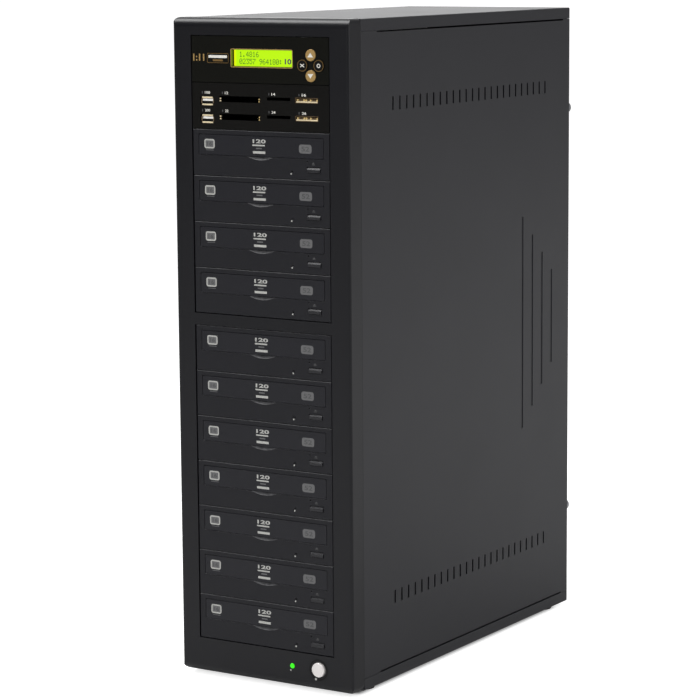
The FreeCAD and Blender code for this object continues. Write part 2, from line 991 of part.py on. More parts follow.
def make_side_panel():
    """The right side panel: a skin with tongues, tabs, folds, vent slots and pressed lines."""
    tongue_low = "(foot_height + flange_drop + slide_gap)"
    tongue_high = f"({METAL_TOP} - flange_drop - slide_gap)"
    tongue_end = f"({METAL_FRONT} + panel_tongue)"
    tab_start = f"({METAL_REAR} - panel_tab)"
    body = start_body("side_panel_body")
    outline = sketch_on(body, "side_panel_outline", "YZ_Plane", INNER_HALF)
    draw_outline(
        outline,
        [
            (METAL_FRONT, tongue_low),
            (tongue_end, tongue_low),
            (tongue_end, PANEL_LOW),
            (tab_start, PANEL_LOW),
            (tab_start, tongue_low),
            (METAL_REAR, tongue_low),
            (METAL_REAR, tongue_high),
            (tab_start, tongue_high),
            (tab_start, PANEL_HIGH),
            (tongue_end, PANEL_HIGH),
            (tongue_end, tongue_high),
            (METAL_FRONT, tongue_high),
        ],
    )
    pad(body, "side_panel_skin", outline, "sheet")

    folds = sketch_on(body, "side_panel_folds", "YZ_Plane", INNER_HALF)
    fold_run = (tongue_end, f"{REAR_SKIN_IN} - slide_gap - panel_travel")
    draw_block(folds, fold_run, (PANEL_LOW, f"{PANEL_LOW} + sheet"))
    draw_block(folds, fold_run, (f"{PANEL_HIGH} - sheet", PANEL_HIGH))
    pad(body, "side_panel_edges", folds, "panel_fold", backwards=True)
    flange = sketch_on(body, "side_panel_flange", "YZ_Plane", INNER_HALF)
    draw_block(
        flange, (f"{METAL_REAR} - sheet", METAL_REAR), (PANEL_LOW, PANEL_HIGH)
    )
    pad(body, "side_panel_rear_flange", flange, "fold_width", backwards=True)

    ridges = sketch_on(body, "side_panel_ridges", "YZ_Plane", INNER_HALF)
    grooves = sketch_on(body, "side_panel_grooves", "YZ_Plane", METAL_HALF)
    middle = f"(({PANEL_LOW} + {PANEL_HIGH}) / 2 - groove_drop)"
    for index in range(GROOVES):
        depth = f"({METAL_REAR} - groove_rear_inset - {index} * groove_pitch)"
        length = f"(groove_length - {GROOVES - 1 - index} * groove_step)"
        draw_block(
            ridges,
            around(depth, "groove_width + sheet + sheet"),
            around(middle, f"{length} + sheet + sheet"),
        )
        draw_block(grooves, around(depth, "groove_width"), around(middle, length))
    pad(body, "side_panel_pressed_in", ridges, "groove_depth", backwards=True)
    pocket(body, "side_panel_pressed_lines", grooves, "groove_depth")

    for place_name, height in (
        ("upper", f"({METAL_TOP} - flange_drop - slot_row_inset)"),
        ("lower", "(foot_height + flange_drop + slot_row_inset)"),
    ):
        slots = sketch_on(body, f"{place_name}_slot", "YZ_Plane", METAL_HALF)
        draw_block(
            slots,
            around("slot_start", "slot_width"),
            around(height, "slot_length"),
        )
        first = pocket(body, f"{place_name}_first_slot", slots, "sheet + overrun")
        row = body.newObject("PartDesign::LinearPattern", f"{place_name}_slot_row")
        row.Originals = [first]
        row.Direction = (slots, ["H_Axis"])
        row.Occurrences = SLOTS_IN_A_ROW
        bind(row, "Length", f"{METAL_REAR} - slot_end_inset - slot_start")
        body.Tip = row
        doc.recompute()
    holes = sketch_on(body, "thumb_holes", "XZ_Plane", f"-({METAL_REAR} - sheet)")
    for height in thumb_screw_heights():
        draw_circle(holes, THUMB_SIDE, height, "thumb_hole_radius")
    pocket(body, "side_panel_thumb_holes", holes, "sheet + overrun")
    return body


def make_side_panel_set():
    """The right side panel with the thumb screws that stay in its rear flange."""
    screw = fuse(
        "thumb_screw",
        [
            rod(
                "thumb_screw_head",
                "y",
                METAL_REAR,
                f"{METAL_REAR} + thumb_head",
                (THUMB_SIDE, "0"),
                "thumb_radius",
            ),
            rod(
                "thumb_screw_shank",
                "y",
                f"{METAL_REAR} - thumb_shank",
                f"{METAL_REAR} + thumb_head / 2",
                (THUMB_SIDE, "0"),
                "thumb_shank_radius",
            ),
        ],
    )
    screws = [
        copy(f"thumb_screw_{index}", screw, z=height)
        for index, height in enumerate(thumb_screw_heights())
    ]
    return group("side_panel_set", [make_side_panel(), *screws])


def ring_slits(name, hub, rotor, rings, centre, start, end):
    """Rings of open slits between a hub and a rotor's reach, crossed by four spokes that stay."""
    slits = []
    reach = f"({rotor} - grille_inset)"
    pitch = f"(({reach} - {hub}) / {rings})"
    for ring in range(rings):
        inner = f"({hub} + {ring} * {pitch})"
        outer = f"({inner} + {pitch} - grille_ring)"
        disc = rod(f"{name}_disc_{ring}", "y", start, end, centre, outer)
        core = rod(f"{name}_core_{ring}", "y", start, end, centre, inner)
        slits.append(cut(f"{name}_slit_{ring}", disc, [core]))
    side, height = centre
    spokes = [
        box(
            f"{name}_spoke_across",
            around(side, f"2 * {reach}"),
            (start, end),
            around(height, "grille_spoke"),
        ),
        box(
            f"{name}_spoke_upright",
            around(side, "grille_spoke"),
            (start, end),
            around(height, f"2 * {reach}"),
        ),
    ]
    return cut(f"{name}_slits", group(f"{name}_rings", slits), spokes)


FAN_CENTRE = ("0", "fan_rise")
FAN_BORE = "(fan_size / 2 - fan_rim)"
FAN_ROTOR_RADIUS = f"({FAN_BORE} - blade_tip_gap)"
SUPPLY_HALF = f"({METAL_HALF} - supply_side_gap)"
SUPPLY_LOW = "(foot_height + sheet)"
SUPPLY_HIGH = f"({SUPPLY_LOW} + supply_height)"
SUPPLY_FRONT = f"({REAR_SKIN_IN} - supply_length)"
SUPPLY_ROTOR_RADIUS = "(supply_height / 2 - supply_rotor_rim)"
SUPPLY_FAN_CENTRE = (
    f"(supply_fan_inset - {SUPPLY_HALF})",
    f"({SUPPLY_LOW} + supply_height / 2)",
)
PLUG_SIDE = f"({SUPPLY_HALF} - inlet_inset)"
INLET_SPOT = (PLUG_SIDE, f"({SUPPLY_LOW} + {INLET_RISE_SHARE} * supply_height)")
ROCKER_SPOT = (PLUG_SIDE, f"({SUPPLY_LOW} + {ROCKER_RISE_SHARE} * supply_height)")


def fan_screw_places():
    """The four screws of the rear fan."""
    side, height = FAN_CENTRE
    spread = "(fan_size / 2 - fan_hole_inset)"
    return [
        (f"({side} {across} {spread})", f"({height} {up} {spread})")
        for across in "-+"
        for up in "-+"
    ]


def supply_screw_places():
    """The four screws that hold the power supply to the rear panel."""
    half = f"({SUPPLY_HALF} - supply_rim / 2)"
    low = f"({SUPPLY_LOW} + supply_rim / 2)"
    high = f"({SUPPLY_HIGH} - supply_rim / 2)"
    return [(f"({sign}{half})", height) for sign in ("-", "") for height in (low, high)]


def make_rear_panel():
    """The rear wall between the side panels, with the supply's window and the fan's grille."""
    half = f"({INNER_HALF} - slide_gap)"
    low = "(foot_height + sheet)"
    high = f"({METAL_TOP} - sheet)"
    wall = box("rear_wall", both(half), (REAR_SKIN_IN, REAR_SKIN_OUT), (low, high))
    inner = f"({METAL_HALF} - fold_width - slide_gap)"
    folds = [
        box(
            f"rear_fold_{index}",
            both(inner),
            (f"{REAR_SKIN_IN} - rear_fold", f"{REAR_SKIN_OUT}"),
            span,
        )
        for index, span in enumerate(((f"{high} - sheet", high),))
    ]
    solid = fuse("rear_solid", [wall, *folds])
    through = (f"{REAR_SKIN_IN} - overrun", f"{REAR_SKIN_OUT} + overrun")
    window = box(
        "supply_window",
        both(f"{SUPPLY_HALF} - supply_rim"),
        through,
        (f"{SUPPLY_LOW} + supply_rim", f"{SUPPLY_HIGH} - supply_rim"),
    )
    grille = ring_slits(
        "rear_grille",
        "fan_hub_radius",
        FAN_ROTOR_RADIUS,
        FAN_RINGS,
        FAN_CENTRE,
        *through,
    )
    holes = [
        rod(f"rear_hole_{index}", "y", *through, spot, "screw_hole_radius")
        for index, spot in enumerate(fan_screw_places() + supply_screw_places())
    ]
    thumb_holes = [
        rod(
            f"rear_thumb_hole_{sign}_{index}",
            "y",
            *through,
            (f"({sign_text}{THUMB_SIDE})", height),
            "thumb_hole_radius",
        )
        for sign, sign_text in (("left", "-"), ("right", ""))
        for index, height in enumerate(thumb_screw_heights())
    ]
    return cut_apart("rear_panel_cut", solid, [window, grille, *holes, *thumb_holes])


def bay_screw_depths(bay):
    """How far back the screws of a bay are: two for a drive, one for a panel."""
    return ("screw_front",) if bay < PANEL_BAYS else ("screw_front", "screw_back")


def make_drive_cage():
    """A front plate with windows for the drives and two long walls that hold them."""
    plate = box(
        "cage_plate",
        both(f"{INNER_HALF} - slide_gap"),
        (CAGE_FRONT, CAGE_BACK),
        ("foot_height + sheet", f"{METAL_TOP} - sheet"),
    )
    walls = [
        box(
            f"cage_wall_{name}",
            span,
            (CAGE_FRONT, f"{CAGE_BACK} + cage_length"),
            ("foot_height + sheet", f"{METAL_TOP} - sheet"),
        )
        for name, span in (
            ("right", (CAGE_HALF, f"{CAGE_HALF} + sheet")),
            ("left", (f"-({CAGE_HALF} + sheet)", f"-{CAGE_HALF}")),
        )
    ]
    solid = fuse("cage_solid", [plate, *walls])
    through = (f"{CAGE_FRONT} - overrun", f"{CAGE_BACK} + overrun")
    windows = [
        box(f"cage_window_{index}", both(CAGE_HALF), through, span)
        for index, span in enumerate(WINDOWS)
    ]
    wire_holes = [
        rod(f"wire_hole_{name}", "y", *through, (side, CONTROL_HEIGHT), "wire_hole_radius")
        for name, side in (("button", POWER_SIDE), ("lamp", POWER_LAMP_SIDE))
    ]
    frame_holes = [
        rod(f"frame_screw_hole_{index}", "y", *through, spot, "screw_hole_radius")
        for index, spot in enumerate(bezel_screw_places())
    ]
    side_holes = [
        rod(
            f"cage_hole_{bay}_{depth}",
            "x",
            f"-({CAGE_HALF} + sheet + overrun)",
            f"{CAGE_HALF} + sheet + overrun",
            (depth, f"{bay_top(bay)} - {SCREW_DROP}"),
            "screw_hole_radius",
        )
        for bay in range(BAYS)
        for depth in bay_screw_depths(bay)
    ]
    return cut_apart(
        "cage_cut", solid, [*windows, *wire_holes, *frame_holes, *side_holes]
    )


# Disc drives. Z is zero at the top edge of the bay's front

DOOR_BOTTOM = "(door_top + door_height)"
TRAY_BOTTOM = f"({DOOR_BOTTOM} - tray_lift)"
TRAY_TOP = f"({TRAY_BOTTOM} - tray_rail - tray_plate)"
EJECT_SIDE = f"({FACE_HALF} - eject_inset)"
FACE_FRONT = "front_inset"
DRIVE_FACE_BACK = "(front_inset + face_depth)"
SCOOP_CENTRE = f"(scoop_radius - {DOOR_BOTTOM} - scoop_drop)"
DOOR_BACK = "(front_inset + door_depth)"


def below_door(share):
    """How far a place lies under the bay's top edge, between the door and the face's foot."""
    return f"({DOOR_BOTTOM} + {share} * ({FACE_HEIGHT} - {DOOR_BOTTOM}))"


def make_drive_bezel():
    """A drive's face: door opening with a finger scoop, button hole, lamp and pin hole."""
    block = box(
        "drive_face_block",
        both(FACE_HALF),
        (FACE_FRONT, DRIVE_FACE_BACK),
        (f"-{FACE_HEIGHT}", "0"),
    )
    front = number(FACE_FRONT)
    near = number("face_depth") / 2
    face = rounded(
        "drive_face",
        block,
        "face_round",
        lambda run, spot: not runs_along(run, 1) and abs(spot.y - front) < near,
    )
    through = (f"{FACE_FRONT} - overrun", f"{DRIVE_FACE_BACK} + overrun")
    opening = rounded(
        "door_opening",
        box(
            "door_opening_block",
            both(f"{DOOR_HALF} + door_gap"),
            through,
            (f"-({DOOR_BOTTOM} + door_gap)", "-(door_top - door_gap)"),
        ),
        "door_round",
        lambda run, spot: runs_along(run, 1),
    )
    slope = cone(
        "scoop_slope",
        "y",
        FACE_FRONT,
        "front_inset + scoop_depth",
        ("0", SCOOP_CENTRE),
        "scoop_radius",
        "scoop_radius - scoop_drop",
    )
    under_door = box(
        "scoop_band",
        both("scoop_reach"),
        through,
        (f"-{DOOR_BOTTOM} - scoop_reach", f"-{DOOR_BOTTOM} + overrun / 2"),
    )
    scoop = overlap("scoop", [slope, under_door])
    pin_spot = (f"{FACE_HALF} - pinhole_inset", f"-{below_door(PINHOLE_SHARE)}")
    pinhole = rod("pinhole", "y", *through, pin_spot, "pinhole_radius")
    dish = cone(
        "pinhole_dish_cut",
        "y",
        FACE_FRONT,
        "front_inset + pinhole_dish_depth",
        pin_spot,
        "pinhole_dish",
        "pinhole_radius",
    )
    lamp = rod(
        "drive_lamp_hole",
        "y",
        f"{FACE_FRONT} - overrun",
        "front_inset + lamp_depth",
        (f"{FACE_HALF} - lamp_inset", f"-{below_door(LAMP_SHARE)}"),
        "lamp_radius",
    )
    button = box(
        "eject_hole",
        around(EJECT_SIDE, "eject_width + 2 * eject_gap"),
        through,
        around(f"-{below_door(EJECT_SHARE)}", "eject_height + 2 * eject_gap"),
    )
    return cut("drive_face_cut", face, [opening, scoop, pinhole, dish, lamp, button])


def make_tray_plate():
    """A tray: a plate with the two disc seats, the hub hole, the sled slot and side rails."""
    body = start_body("tray_plate_body")
    start = DOOR_BACK
    end = f"({DOOR_BACK} + tray_length)"
    half = TRAY_HALF
    top = f"-{TRAY_TOP}"
    plate = sketch_on(body, "tray_outline", "XY_Plane", top)
    draw_block(plate, both(half), (start, end))
    pad(body, "tray_plate_slab", plate, "tray_plate", backwards=True)
    rails = sketch_on(body, "tray_rails", "XY_Plane", f"{top} - tray_plate")
    draw_block(rails, (f"{half} - tray_rail_width", half), (start, end))
    draw_block(rails, (f"-{half}", f"-({half} - tray_rail_width)"), (start, end))
    pad(body, "tray_side_rails", rails, "tray_rail", backwards=True)
    seats = (
        ("disc", "disc_radius", "disc_recess"),
        ("small_disc", "small_disc_radius", "disc_recess + small_disc_recess"),
        ("hub", "hub_radius", "tray_plate + overrun"),
    )
    for name, radius, depth in seats:
        seat = sketch_on(body, f"{name}_seat", "XY_Plane", top)
        draw_circle(seat, "0", DISC_CENTRE, radius)
        pocket(body, f"{name}_pocket", seat, depth)
    slot = sketch_on(body, "sled_slot", "XY_Plane", top)
    draw_block(slot, both("sled_slot_width / 2"), (DISC_CENTRE, f"{end} - sled_slot_end"))
    pocket(body, "sled_pocket", slot, "tray_plate + overrun")
    return body


DISC_CENTRE = f"({DOOR_BACK} + disc_front_rim + disc_radius)"


def make_tray_door():
    """The tray's front: a flat door with softened corners."""
    panel = box(
        "tray_door_block",
        both(DOOR_HALF),
        (FACE_FRONT, DOOR_BACK),
        (f"-{DOOR_BOTTOM}", "-door_top"),
    )
    return rounded("tray_door", panel, "door_round", lambda run, spot: runs_along(run, 1))


def make_eject_button():
    """A drive's button: a slim wedge whose upper front edge slopes back."""
    front = f"({FACE_FRONT} - eject_proud)"
    back = f"({front} + eject_depth)"
    low, high = around(f"-{below_door(EJECT_SHARE)}", "eject_height")
    body = start_body("eject_body")
    profile = sketch_on(
        body, "eject_profile", "YZ_Plane", f"{EJECT_SIDE} - eject_width / 2"
    )
    draw_outline(
        profile,
        [
            (front, low),
            (back, low),
            (back, high),
            (f"{front} + eject_bevel_depth", high),
            (front, f"{high} - eject_bevel_height"),
        ],
    )
    pad(body, "eject_wedge", profile, "eject_width")
    face = number(front)
    near = number("eject_bevel_depth") / 4
    soften(body, "eject_softened", "eject_round", lambda run, spot: abs(spot.y - face) < near)
    return body


def make_drive_case():
    """A drive's steel box, open in front, with the two ledges that the tray's rails run on."""
    half = CASE_HALF
    top = "(-bay_gap / 2)"
    bottom = f"({top} - {CASE_HEIGHT})"
    end = f"({DOOR_BACK} + tray_length + tray_tail_gap + case_wall)"
    outside = box("case_outside", both(half), (DRIVE_FACE_BACK, end), (bottom, top))
    inside = box(
        "case_inside",
        both(f"{half} - case_wall"),
        (f"{DRIVE_FACE_BACK} - overrun", f"{end} - case_wall"),
        (f"{bottom} + case_wall", f"{top} - case_wall"),
    )
    shell = cut("case_shell", outside, [inside])
    ledge_top = f"(-({TRAY_BOTTOM} + slide_gap))"
    ledge_side = f"({TRAY_HALF} - ledge_reach)"
    ledges = [
        box(
            f"tray_ledge_{name}",
            span,
            (f"{DRIVE_FACE_BACK} + slide_gap", f"{end} - case_wall"),
            (f"{ledge_top} - ledge_height", ledge_top),
        )
        for name, span in (
            ("right", (ledge_side, f"{half} - case_wall / 2")),
            ("left", (f"-({half} - case_wall / 2)", f"-{ledge_side}")),
        )
    ]
    holes = [
        rod(
            f"case_hole_{depth}",
            "x",
            f"-({half} + overrun)",
            f"{half} + overrun",
            (depth, f"-{SCREW_DROP}"),
            "screw_hole_radius",
        )
        for depth in ("screw_front", "screw_back")
    ]
    case = cut_apart("drive_case", fuse("case_with_ledges", [shell, *ledges]), holes)
    floor = f"({bottom} + case_wall)"
    deck_top = f"({floor} + deck_height)"
    deck = box(
        "sled_deck",
        both("deck_width / 2"),
        (f"{DRIVE_FACE_BACK} + deck_start", f"{end} - case_wall - deck_tail"),
        (floor, deck_top),
    )
    spindle = rod(
        "disc_spindle",
        "z",
        deck_top,
        f"-({TRAY_BOTTOM} + spindle_gap)",
        ("0", DISC_CENTRE),
        "spindle_radius",
    )
    return group("drive_case_set", [case, fuse("disc_deck", [deck, spindle])])


# Bay panels: a face with two ears and a floor that carry its boards


CONTROL_BOARD_END = "(control_board_start + control_board_depth)"


def make_bay_frame(name):
    """The moulding that both panels share. Z is zero at the top edge of the bay."""
    face = box(
        name + "_face",
        both(FACE_HALF),
        (FACE_FRONT, FACE_BACK),
        (f"-{FACE_HEIGHT}", "0"),
    )
    half = CASE_HALF
    low = f"-({FACE_HEIGHT} - ear_margin)"
    depth = (f"{FACE_BACK} - overrun", f"{CONTROL_BOARD_END} + frame_tail")
    ears = [
        box(f"{name}_ear_{side}", span, depth, (low, "-ear_margin"))
        for side, span in (
            ("right", (f"{half} - ear_wall", half)),
            ("left", (f"-{half}", f"-({half} - ear_wall)")),
        )
    ]
    floor = box(
        name + "_floor",
        both(f"{half} - ear_wall / 2"),
        ("floor_start", depth[1]),
        (low, f"{low} + ear_wall"),
    )
    return [face, *ears, floor]


def bay_frame_holes(name):
    """The screw holes in the ears of a panel."""
    return rod(
        name + "_ear_holes",
        "x",
        f"-({CASE_HALF} + overrun)",
        f"{CASE_HALF} + overrun",
        ("screw_front", f"-{SCREW_DROP}"),
        "screw_hole_radius",
    )


DISPLAY_MIDDLE = f"(display_rise - {FACE_HEIGHT} / 2)"
KEY_BACK = f"({FACE_BACK} + key_gap + flange_thickness)"
PLUNGER_FRONT = f"({KEY_BACK} + key_travel + key_gap)"
KEYPAD_FRONT = f"({PLUNGER_FRONT} + switch_plunger + switch_body)"
FRAME_FLOOR = f"(-({FACE_HEIGHT} - ear_margin) + ear_wall)"
KEY_SPREAD = ("(key_radius + key_gap_across)", "(key_radius + key_gap_up)")
KEY_EAR = f"({CASE_HALF} - ear_wall - key_ear_gap)"
KEY_CROSS = (
    f"({KEY_EAR} - key_flange - key_radius - {KEY_SPREAD[0]})",
    f"(key_cross_rise - {FACE_HEIGHT})",
)
KEY_PLACES = {
    "key_up": (KEY_CROSS[0], f"({KEY_CROSS[1]} + {KEY_SPREAD[1]})"),
    "key_down": (KEY_CROSS[0], f"({KEY_CROSS[1]} - {KEY_SPREAD[1]})"),
    "key_back": (f"({KEY_CROSS[0]} - {KEY_SPREAD[0]})", KEY_CROSS[1]),
    "key_enter": (f"({KEY_CROSS[0]} + {KEY_SPREAD[0]})", KEY_CROSS[1]),
}
KEYPAD_SPAN = (
    around(KEY_CROSS[0], f"2 * ({KEY_SPREAD[0]} + keypad_margin)"),
    around(KEY_CROSS[1], f"2 * ({KEY_SPREAD[1]} + keypad_margin - flange_thickness)"),
)
DISPLAY_SPAN = (
    f"(display_left_inset - {FACE_HALF})",
    f"({KEY_PLACES['key_back'][0]} - key_radius - display_key_gap)",
)
DISPLAY_BACK = f"({FACE_BACK} + glass_setback + glass_thickness + glass_back_gap)"


def make_controller_panel():
    """The panel with the display window, the key holes and the pegs of the keypad board."""
    pegs = [
        rod(
            f"keypad_peg_{side}_{level}",
            "y",
            f"{FACE_BACK} - overrun",
            KEYPAD_FRONT,
            (
                f"{KEY_CROSS[0]} {across} ({KEY_SPREAD[0]} + keypad_margin - peg_radius)",
                f"{KEY_CROSS[1]} {up} ({KEY_SPREAD[1]} + peg_radius)",
            ),
            "peg_radius",
        )
        for side, across in (("left", "-"), ("right", "+"))
        for level, up in (("low", "-"), ("high", "+"))
    ]
    standoffs = [
        rod(
            f"board_standoff_{index}",
            "z",
            f"{FRAME_FLOOR} - ear_wall / 2",
            f"{FRAME_FLOOR} + standoff_height",
            spot,
            "standoff_radius",
        )
        for index, spot in enumerate(control_board_corners())
    ]
    solid = fuse(
        "controller_solid", [*make_bay_frame("controller"), *pegs, *standoffs]
    )
    through = (f"{FACE_FRONT} - overrun", f"{FACE_BACK} + overrun")
    window = rounded(
        "display_window",
        box(
            "display_window_block",
            DISPLAY_SPAN,
            through,
            around(DISPLAY_MIDDLE, "display_height"),
        ),
        "display_round",
        lambda run, spot: runs_along(run, 1),
    )
    keys = [
        rod(f"{name}_hole", "y", *through, spot, "key_radius + key_gap")
        for name, spot in KEY_PLACES.items()
    ]
    return cut_apart(
        "controller_cut", solid, [window, *keys, bay_frame_holes("controller")]
    )


def make_display():
    """The display: a frame behind the panel, a glass set back in it and a board behind."""
    left, right = DISPLAY_SPAN
    outer = (f"{left} - display_rim", f"{right} + display_rim")
    outer_height = "(display_height + 2 * display_rim)"
    back = DISPLAY_BACK
    frame = cut(
        "display_frame",
        box(
            "display_frame_block",
            outer,
            (FACE_BACK, back),
            around(DISPLAY_MIDDLE, outer_height),
        ),
        [
            box(
                "display_frame_hole",
                DISPLAY_SPAN,
                (f"{FACE_BACK} - overrun", f"{back} + overrun"),
                around(DISPLAY_MIDDLE, "display_height"),
            )
        ],
    )
    glass = box(
        "display_glass",
        DISPLAY_SPAN,
        (f"{FACE_BACK} + glass_setback", f"{FACE_BACK} + glass_setback + glass_thickness"),
        around(DISPLAY_MIDDLE, "display_height"),
    )
    board = box(
        "display_board",
        outer,
        (back, f"{back} + board"),
        around(DISPLAY_MIDDLE, f"{outer_height} + 2 * display_board_margin"),
    )
    return group("display_set", [frame, glass, board])


def make_key(name):
    """A round key with a flange behind the panel."""
    flange = "(key_radius + key_flange)"
    key = turned(
        name + "_body",
        "XY_Plane",
        [
            ("0", "-key_proud"),
            ("key_radius", "-key_proud"),
            ("key_radius", f"{FACE_BACK} + key_gap"),
            (flange, f"{FACE_BACK} + key_gap"),
            (flange, KEY_BACK),
            ("0", KEY_BACK),
        ],
    )
    face = number("-key_proud")
    edge_reach = number("key_proud") / 2
    soften(
        key,
        name + "_edge",
        "key_round",
        lambda run, spot: run.Length == 0 and abs(spot.y - face) < edge_reach,
    )
    return key


def make_keypad_board():
    """The board behind the keys, with a small switch for each of them."""
    board = box(
        "keypad_plate",
        KEYPAD_SPAN[0],
        (KEYPAD_FRONT, f"{KEYPAD_FRONT} + board"),
        KEYPAD_SPAN[1],
    )
    switches = []
    for name, (side, height) in KEY_PLACES.items():
        body_front = f"({PLUNGER_FRONT} + switch_plunger)"
        switches.append(
            box(
                name + "_switch",
                around(side, "switch_size"),
                (body_front, KEYPAD_FRONT),
                around(height, "switch_size"),
            )
        )
        switches.append(
            rod(
                name + "_plunger",
                "y",
                PLUNGER_FRONT,
                body_front,
                (side, height),
                "switch_plunger_radius",
            )
        )
    return fuse("keypad_board", [board, *switches])


CONTROL_BOARD_HALF = f"({CASE_HALF} - ear_wall - control_board_inset)"


def control_board_corners():
    """The four standoffs under the controller board."""
    half = f"({CONTROL_BOARD_HALF} - standoff_radius)"
    front = "(control_board_start + standoff_radius)"
    back = f"({CONTROL_BOARD_END} - standoff_radius)"
    return [(f"({sign}{half})", depth) for sign in ("-", "") for depth in (front, back)]


def make_control_board():
    """The controller board with a row of drive sockets at its rear edge and its main chip."""
    low = f"({FRAME_FLOOR} + standoff_height)"
    top = f"({low} + board)"
    end = CONTROL_BOARD_END
    plate = box(
        "control_plate",
        both(CONTROL_BOARD_HALF),
        ("control_board_start", end),
        (low, top),
    )
    plugs = [
        box(
            f"drive_socket_{index}",
            around(f"({index} - {(SOCKET_PLUGS - 1) / 2}) * plug_pitch", "plug_width"),
            (f"{end} - plug_depth", end),
            (top, f"{top} + plug_height"),
        )
        for index in range(SOCKET_PLUGS)
    ]
    chip = box(
        "main_chip",
        both("chip_size / 2"),
        around("control_board_start + control_board_depth / 2", "chip_size"),
        (top, f"{top} + chip_height"),
    )
    return fuse("control_board", [plate, *plugs, chip])


# Card reader


def slot_side(kind):
    """How far across the panel one kind of slot is."""
    return f"({SLOT_SIDE_SHARES[kind]} * {FACE_HALF})"


def reader_slot(name, kind, rise, width, height, depth, drop):
    """The space that one card or plug goes into, from before the panel to the socket's end."""
    return box(
        name,
        around(slot_side(kind), width),
        (f"{FACE_FRONT} - overrun", depth),
        around(f"{rise} - {drop}", height),
    )


CARDS = ("large_card", "flat_card", "stick_card")


def reader_drops():
    """How far the two reader boards' upper faces lie under the top edge of the bay."""
    return [f"({share} * {FACE_HEIGHT})" for share in READER_ROW_SHARES]


def make_reader_panel():
    """The panel with its two rows of card slots and plug holes."""
    solid = fuse("reader_solid", make_bay_frame("reader"))
    holes = [bay_frame_holes("reader")]
    for row, drop in enumerate(reader_drops()):
        for card in CARDS:
            holes.append(
                reader_slot(
                    f"{card}_mouth_{row}",
                    card,
                    f"{card}_rise",
                    f"{card}_width + 2 * socket_fit",
                    f"{card}_height + 2 * socket_fit",
                    f"{FACE_BACK} + overrun / 2",
                    drop,
                )
            )
        holes.append(
            reader_slot(
                f"usb_mouth_{row}",
                "usb",
                "usb_height / 2",
                "usb_width + 2 * socket_fit",
                "usb_height + 2 * socket_fit",
                f"{FACE_BACK} + overrun / 2",
                drop,
            )
        )
    return cut_apart("reader_cut", solid, holes)


def make_card_socket(card, row, drop):
    """One card socket on its board: a block with the card's space in it."""
    top = f"({card}_rise + {card}_height / 2 + socket_wall - {drop})"
    block = box(
        f"{card}_block_{row}",
        around(slot_side(card), f"{card}_width + 4 * socket_wall"),
        (FACE_BACK, f"{FACE_BACK} + {card}_depth + socket_wall"),
        (f"-{drop}", top),
    )
    space = reader_slot(
        f"{card}_space_{row}",
        card,
        f"{card}_rise",
        f"{card}_width",
        f"{card}_height",
        f"{FACE_BACK} + {card}_depth",
        drop,
    )
    return cut(f"{card}_socket_{row}", block, [space])


def make_usb_socket(row, drop):
    """One plug socket: a thin metal tube with a tongue in it."""
    depth = (FACE_FRONT, f"{FACE_FRONT} + usb_depth")
    middle = f"(usb_height / 2 - {drop})"
    tube = cut(
        f"usb_tube_{row}",
        box(
            f"usb_outside_{row}",
            around(slot_side("usb"), "usb_width"),
            depth,
            around(middle, "usb_height"),
        ),
        [
            box(
                f"usb_inside_{row}",
                around(slot_side("usb"), "usb_width - 2 * usb_wall"),
                (f"{FACE_FRONT} - overrun", f"{depth[1]} - usb_wall"),
                around(middle, "usb_height - 2 * usb_wall"),
            )
        ],
    )
    tongue_low = f"({middle} + usb_tongue_inset / 2)"
    tongue = box(
        f"usb_tongue_{row}",
        around(slot_side("usb"), "usb_tongue_width"),
        (f"{FACE_FRONT} + usb_tongue_inset", f"{depth[1]} - usb_wall / 2"),
        (tongue_low, f"{tongue_low} + usb_tongue_height"),
    )
    return fuse(f"usb_socket_{row}", [tube, tongue])


def make_card_sockets():
    """All sockets of both rows, which stand on the reader boards."""
    sockets = []
    for row, drop in enumerate(reader_drops()):
        for card in CARDS:
            sockets.append(make_card_socket(card, row, drop))
        sockets.append(make_usb_socket(row, drop))
    return group("socket_set", sockets)


def make_reader_board(row, drop):
    """One reader board, held between the ears of the panel."""
    half = f"({CASE_HALF} - ear_wall - reader_board_gap)"
    return box(
        f"reader_board_{row}",
        both(half),
        (f"{FACE_BACK} + reader_board_gap", f"{FACE_BACK} + reader_board_depth"),
        (f"-{drop} - board", f"-{drop}"),
    )


# Fans


def make_rotor(name, hub, radius, width, blades, centre, start):
    """A fan rotor: a hub with a bore for its pin and twisted blades."""
    end = f"({start} + {width})"
    body = rod(f"{name}_hub", "y", start, end, ("0", "0"), hub)
    first = doc.addObject("Part::Box", f"{name}_blade")
    reach = f"({radius} - {hub})"
    bind(first, "Length", f"{reach} + blade_thickness")
    bind(first, "Width", "blade_thickness")
    bind(first, "Height", f"{width} * {BLADE_CHORD_SHARE}")
    twist = FreeCAD.Rotation(FreeCAD.Vector(1, 0, 0), BLADE_PITCH_DEGREES)
    first.Placement = FreeCAD.Placement(FreeCAD.Vector(), twist)
    bind(first, "Placement.Base.x", f"{hub} - blade_thickness")
    bind(first, "Placement.Base.y", f"{start} + {width} * {BLADE_BACK_SHARE}")
    bind(first, "Placement.Base.z", f"-{width} * {BLADE_LOW_SHARE}")
    blade_set = []
    for blade in range(blades):
        turn = FreeCAD.Rotation(FreeCAD.Vector(0, 1, 0), 360 * blade / blades)
        blade_set.append(copy(f"{name}_blade_{blade}", first, turn))
    bore = rod(
        f"{name}_bore",
        "y",
        f"{start} - overrun",
        f"{end} + overrun",
        ("0", "0"),
        "spindle_pin_radius + running_fit",
    )
    solid = cut(f"{name}_bored", fuse(f"{name}_solid", [body, *blade_set]), [bore])
    side, height = centre
    return copy(f"{name}_placed", solid, x=side, z=height)


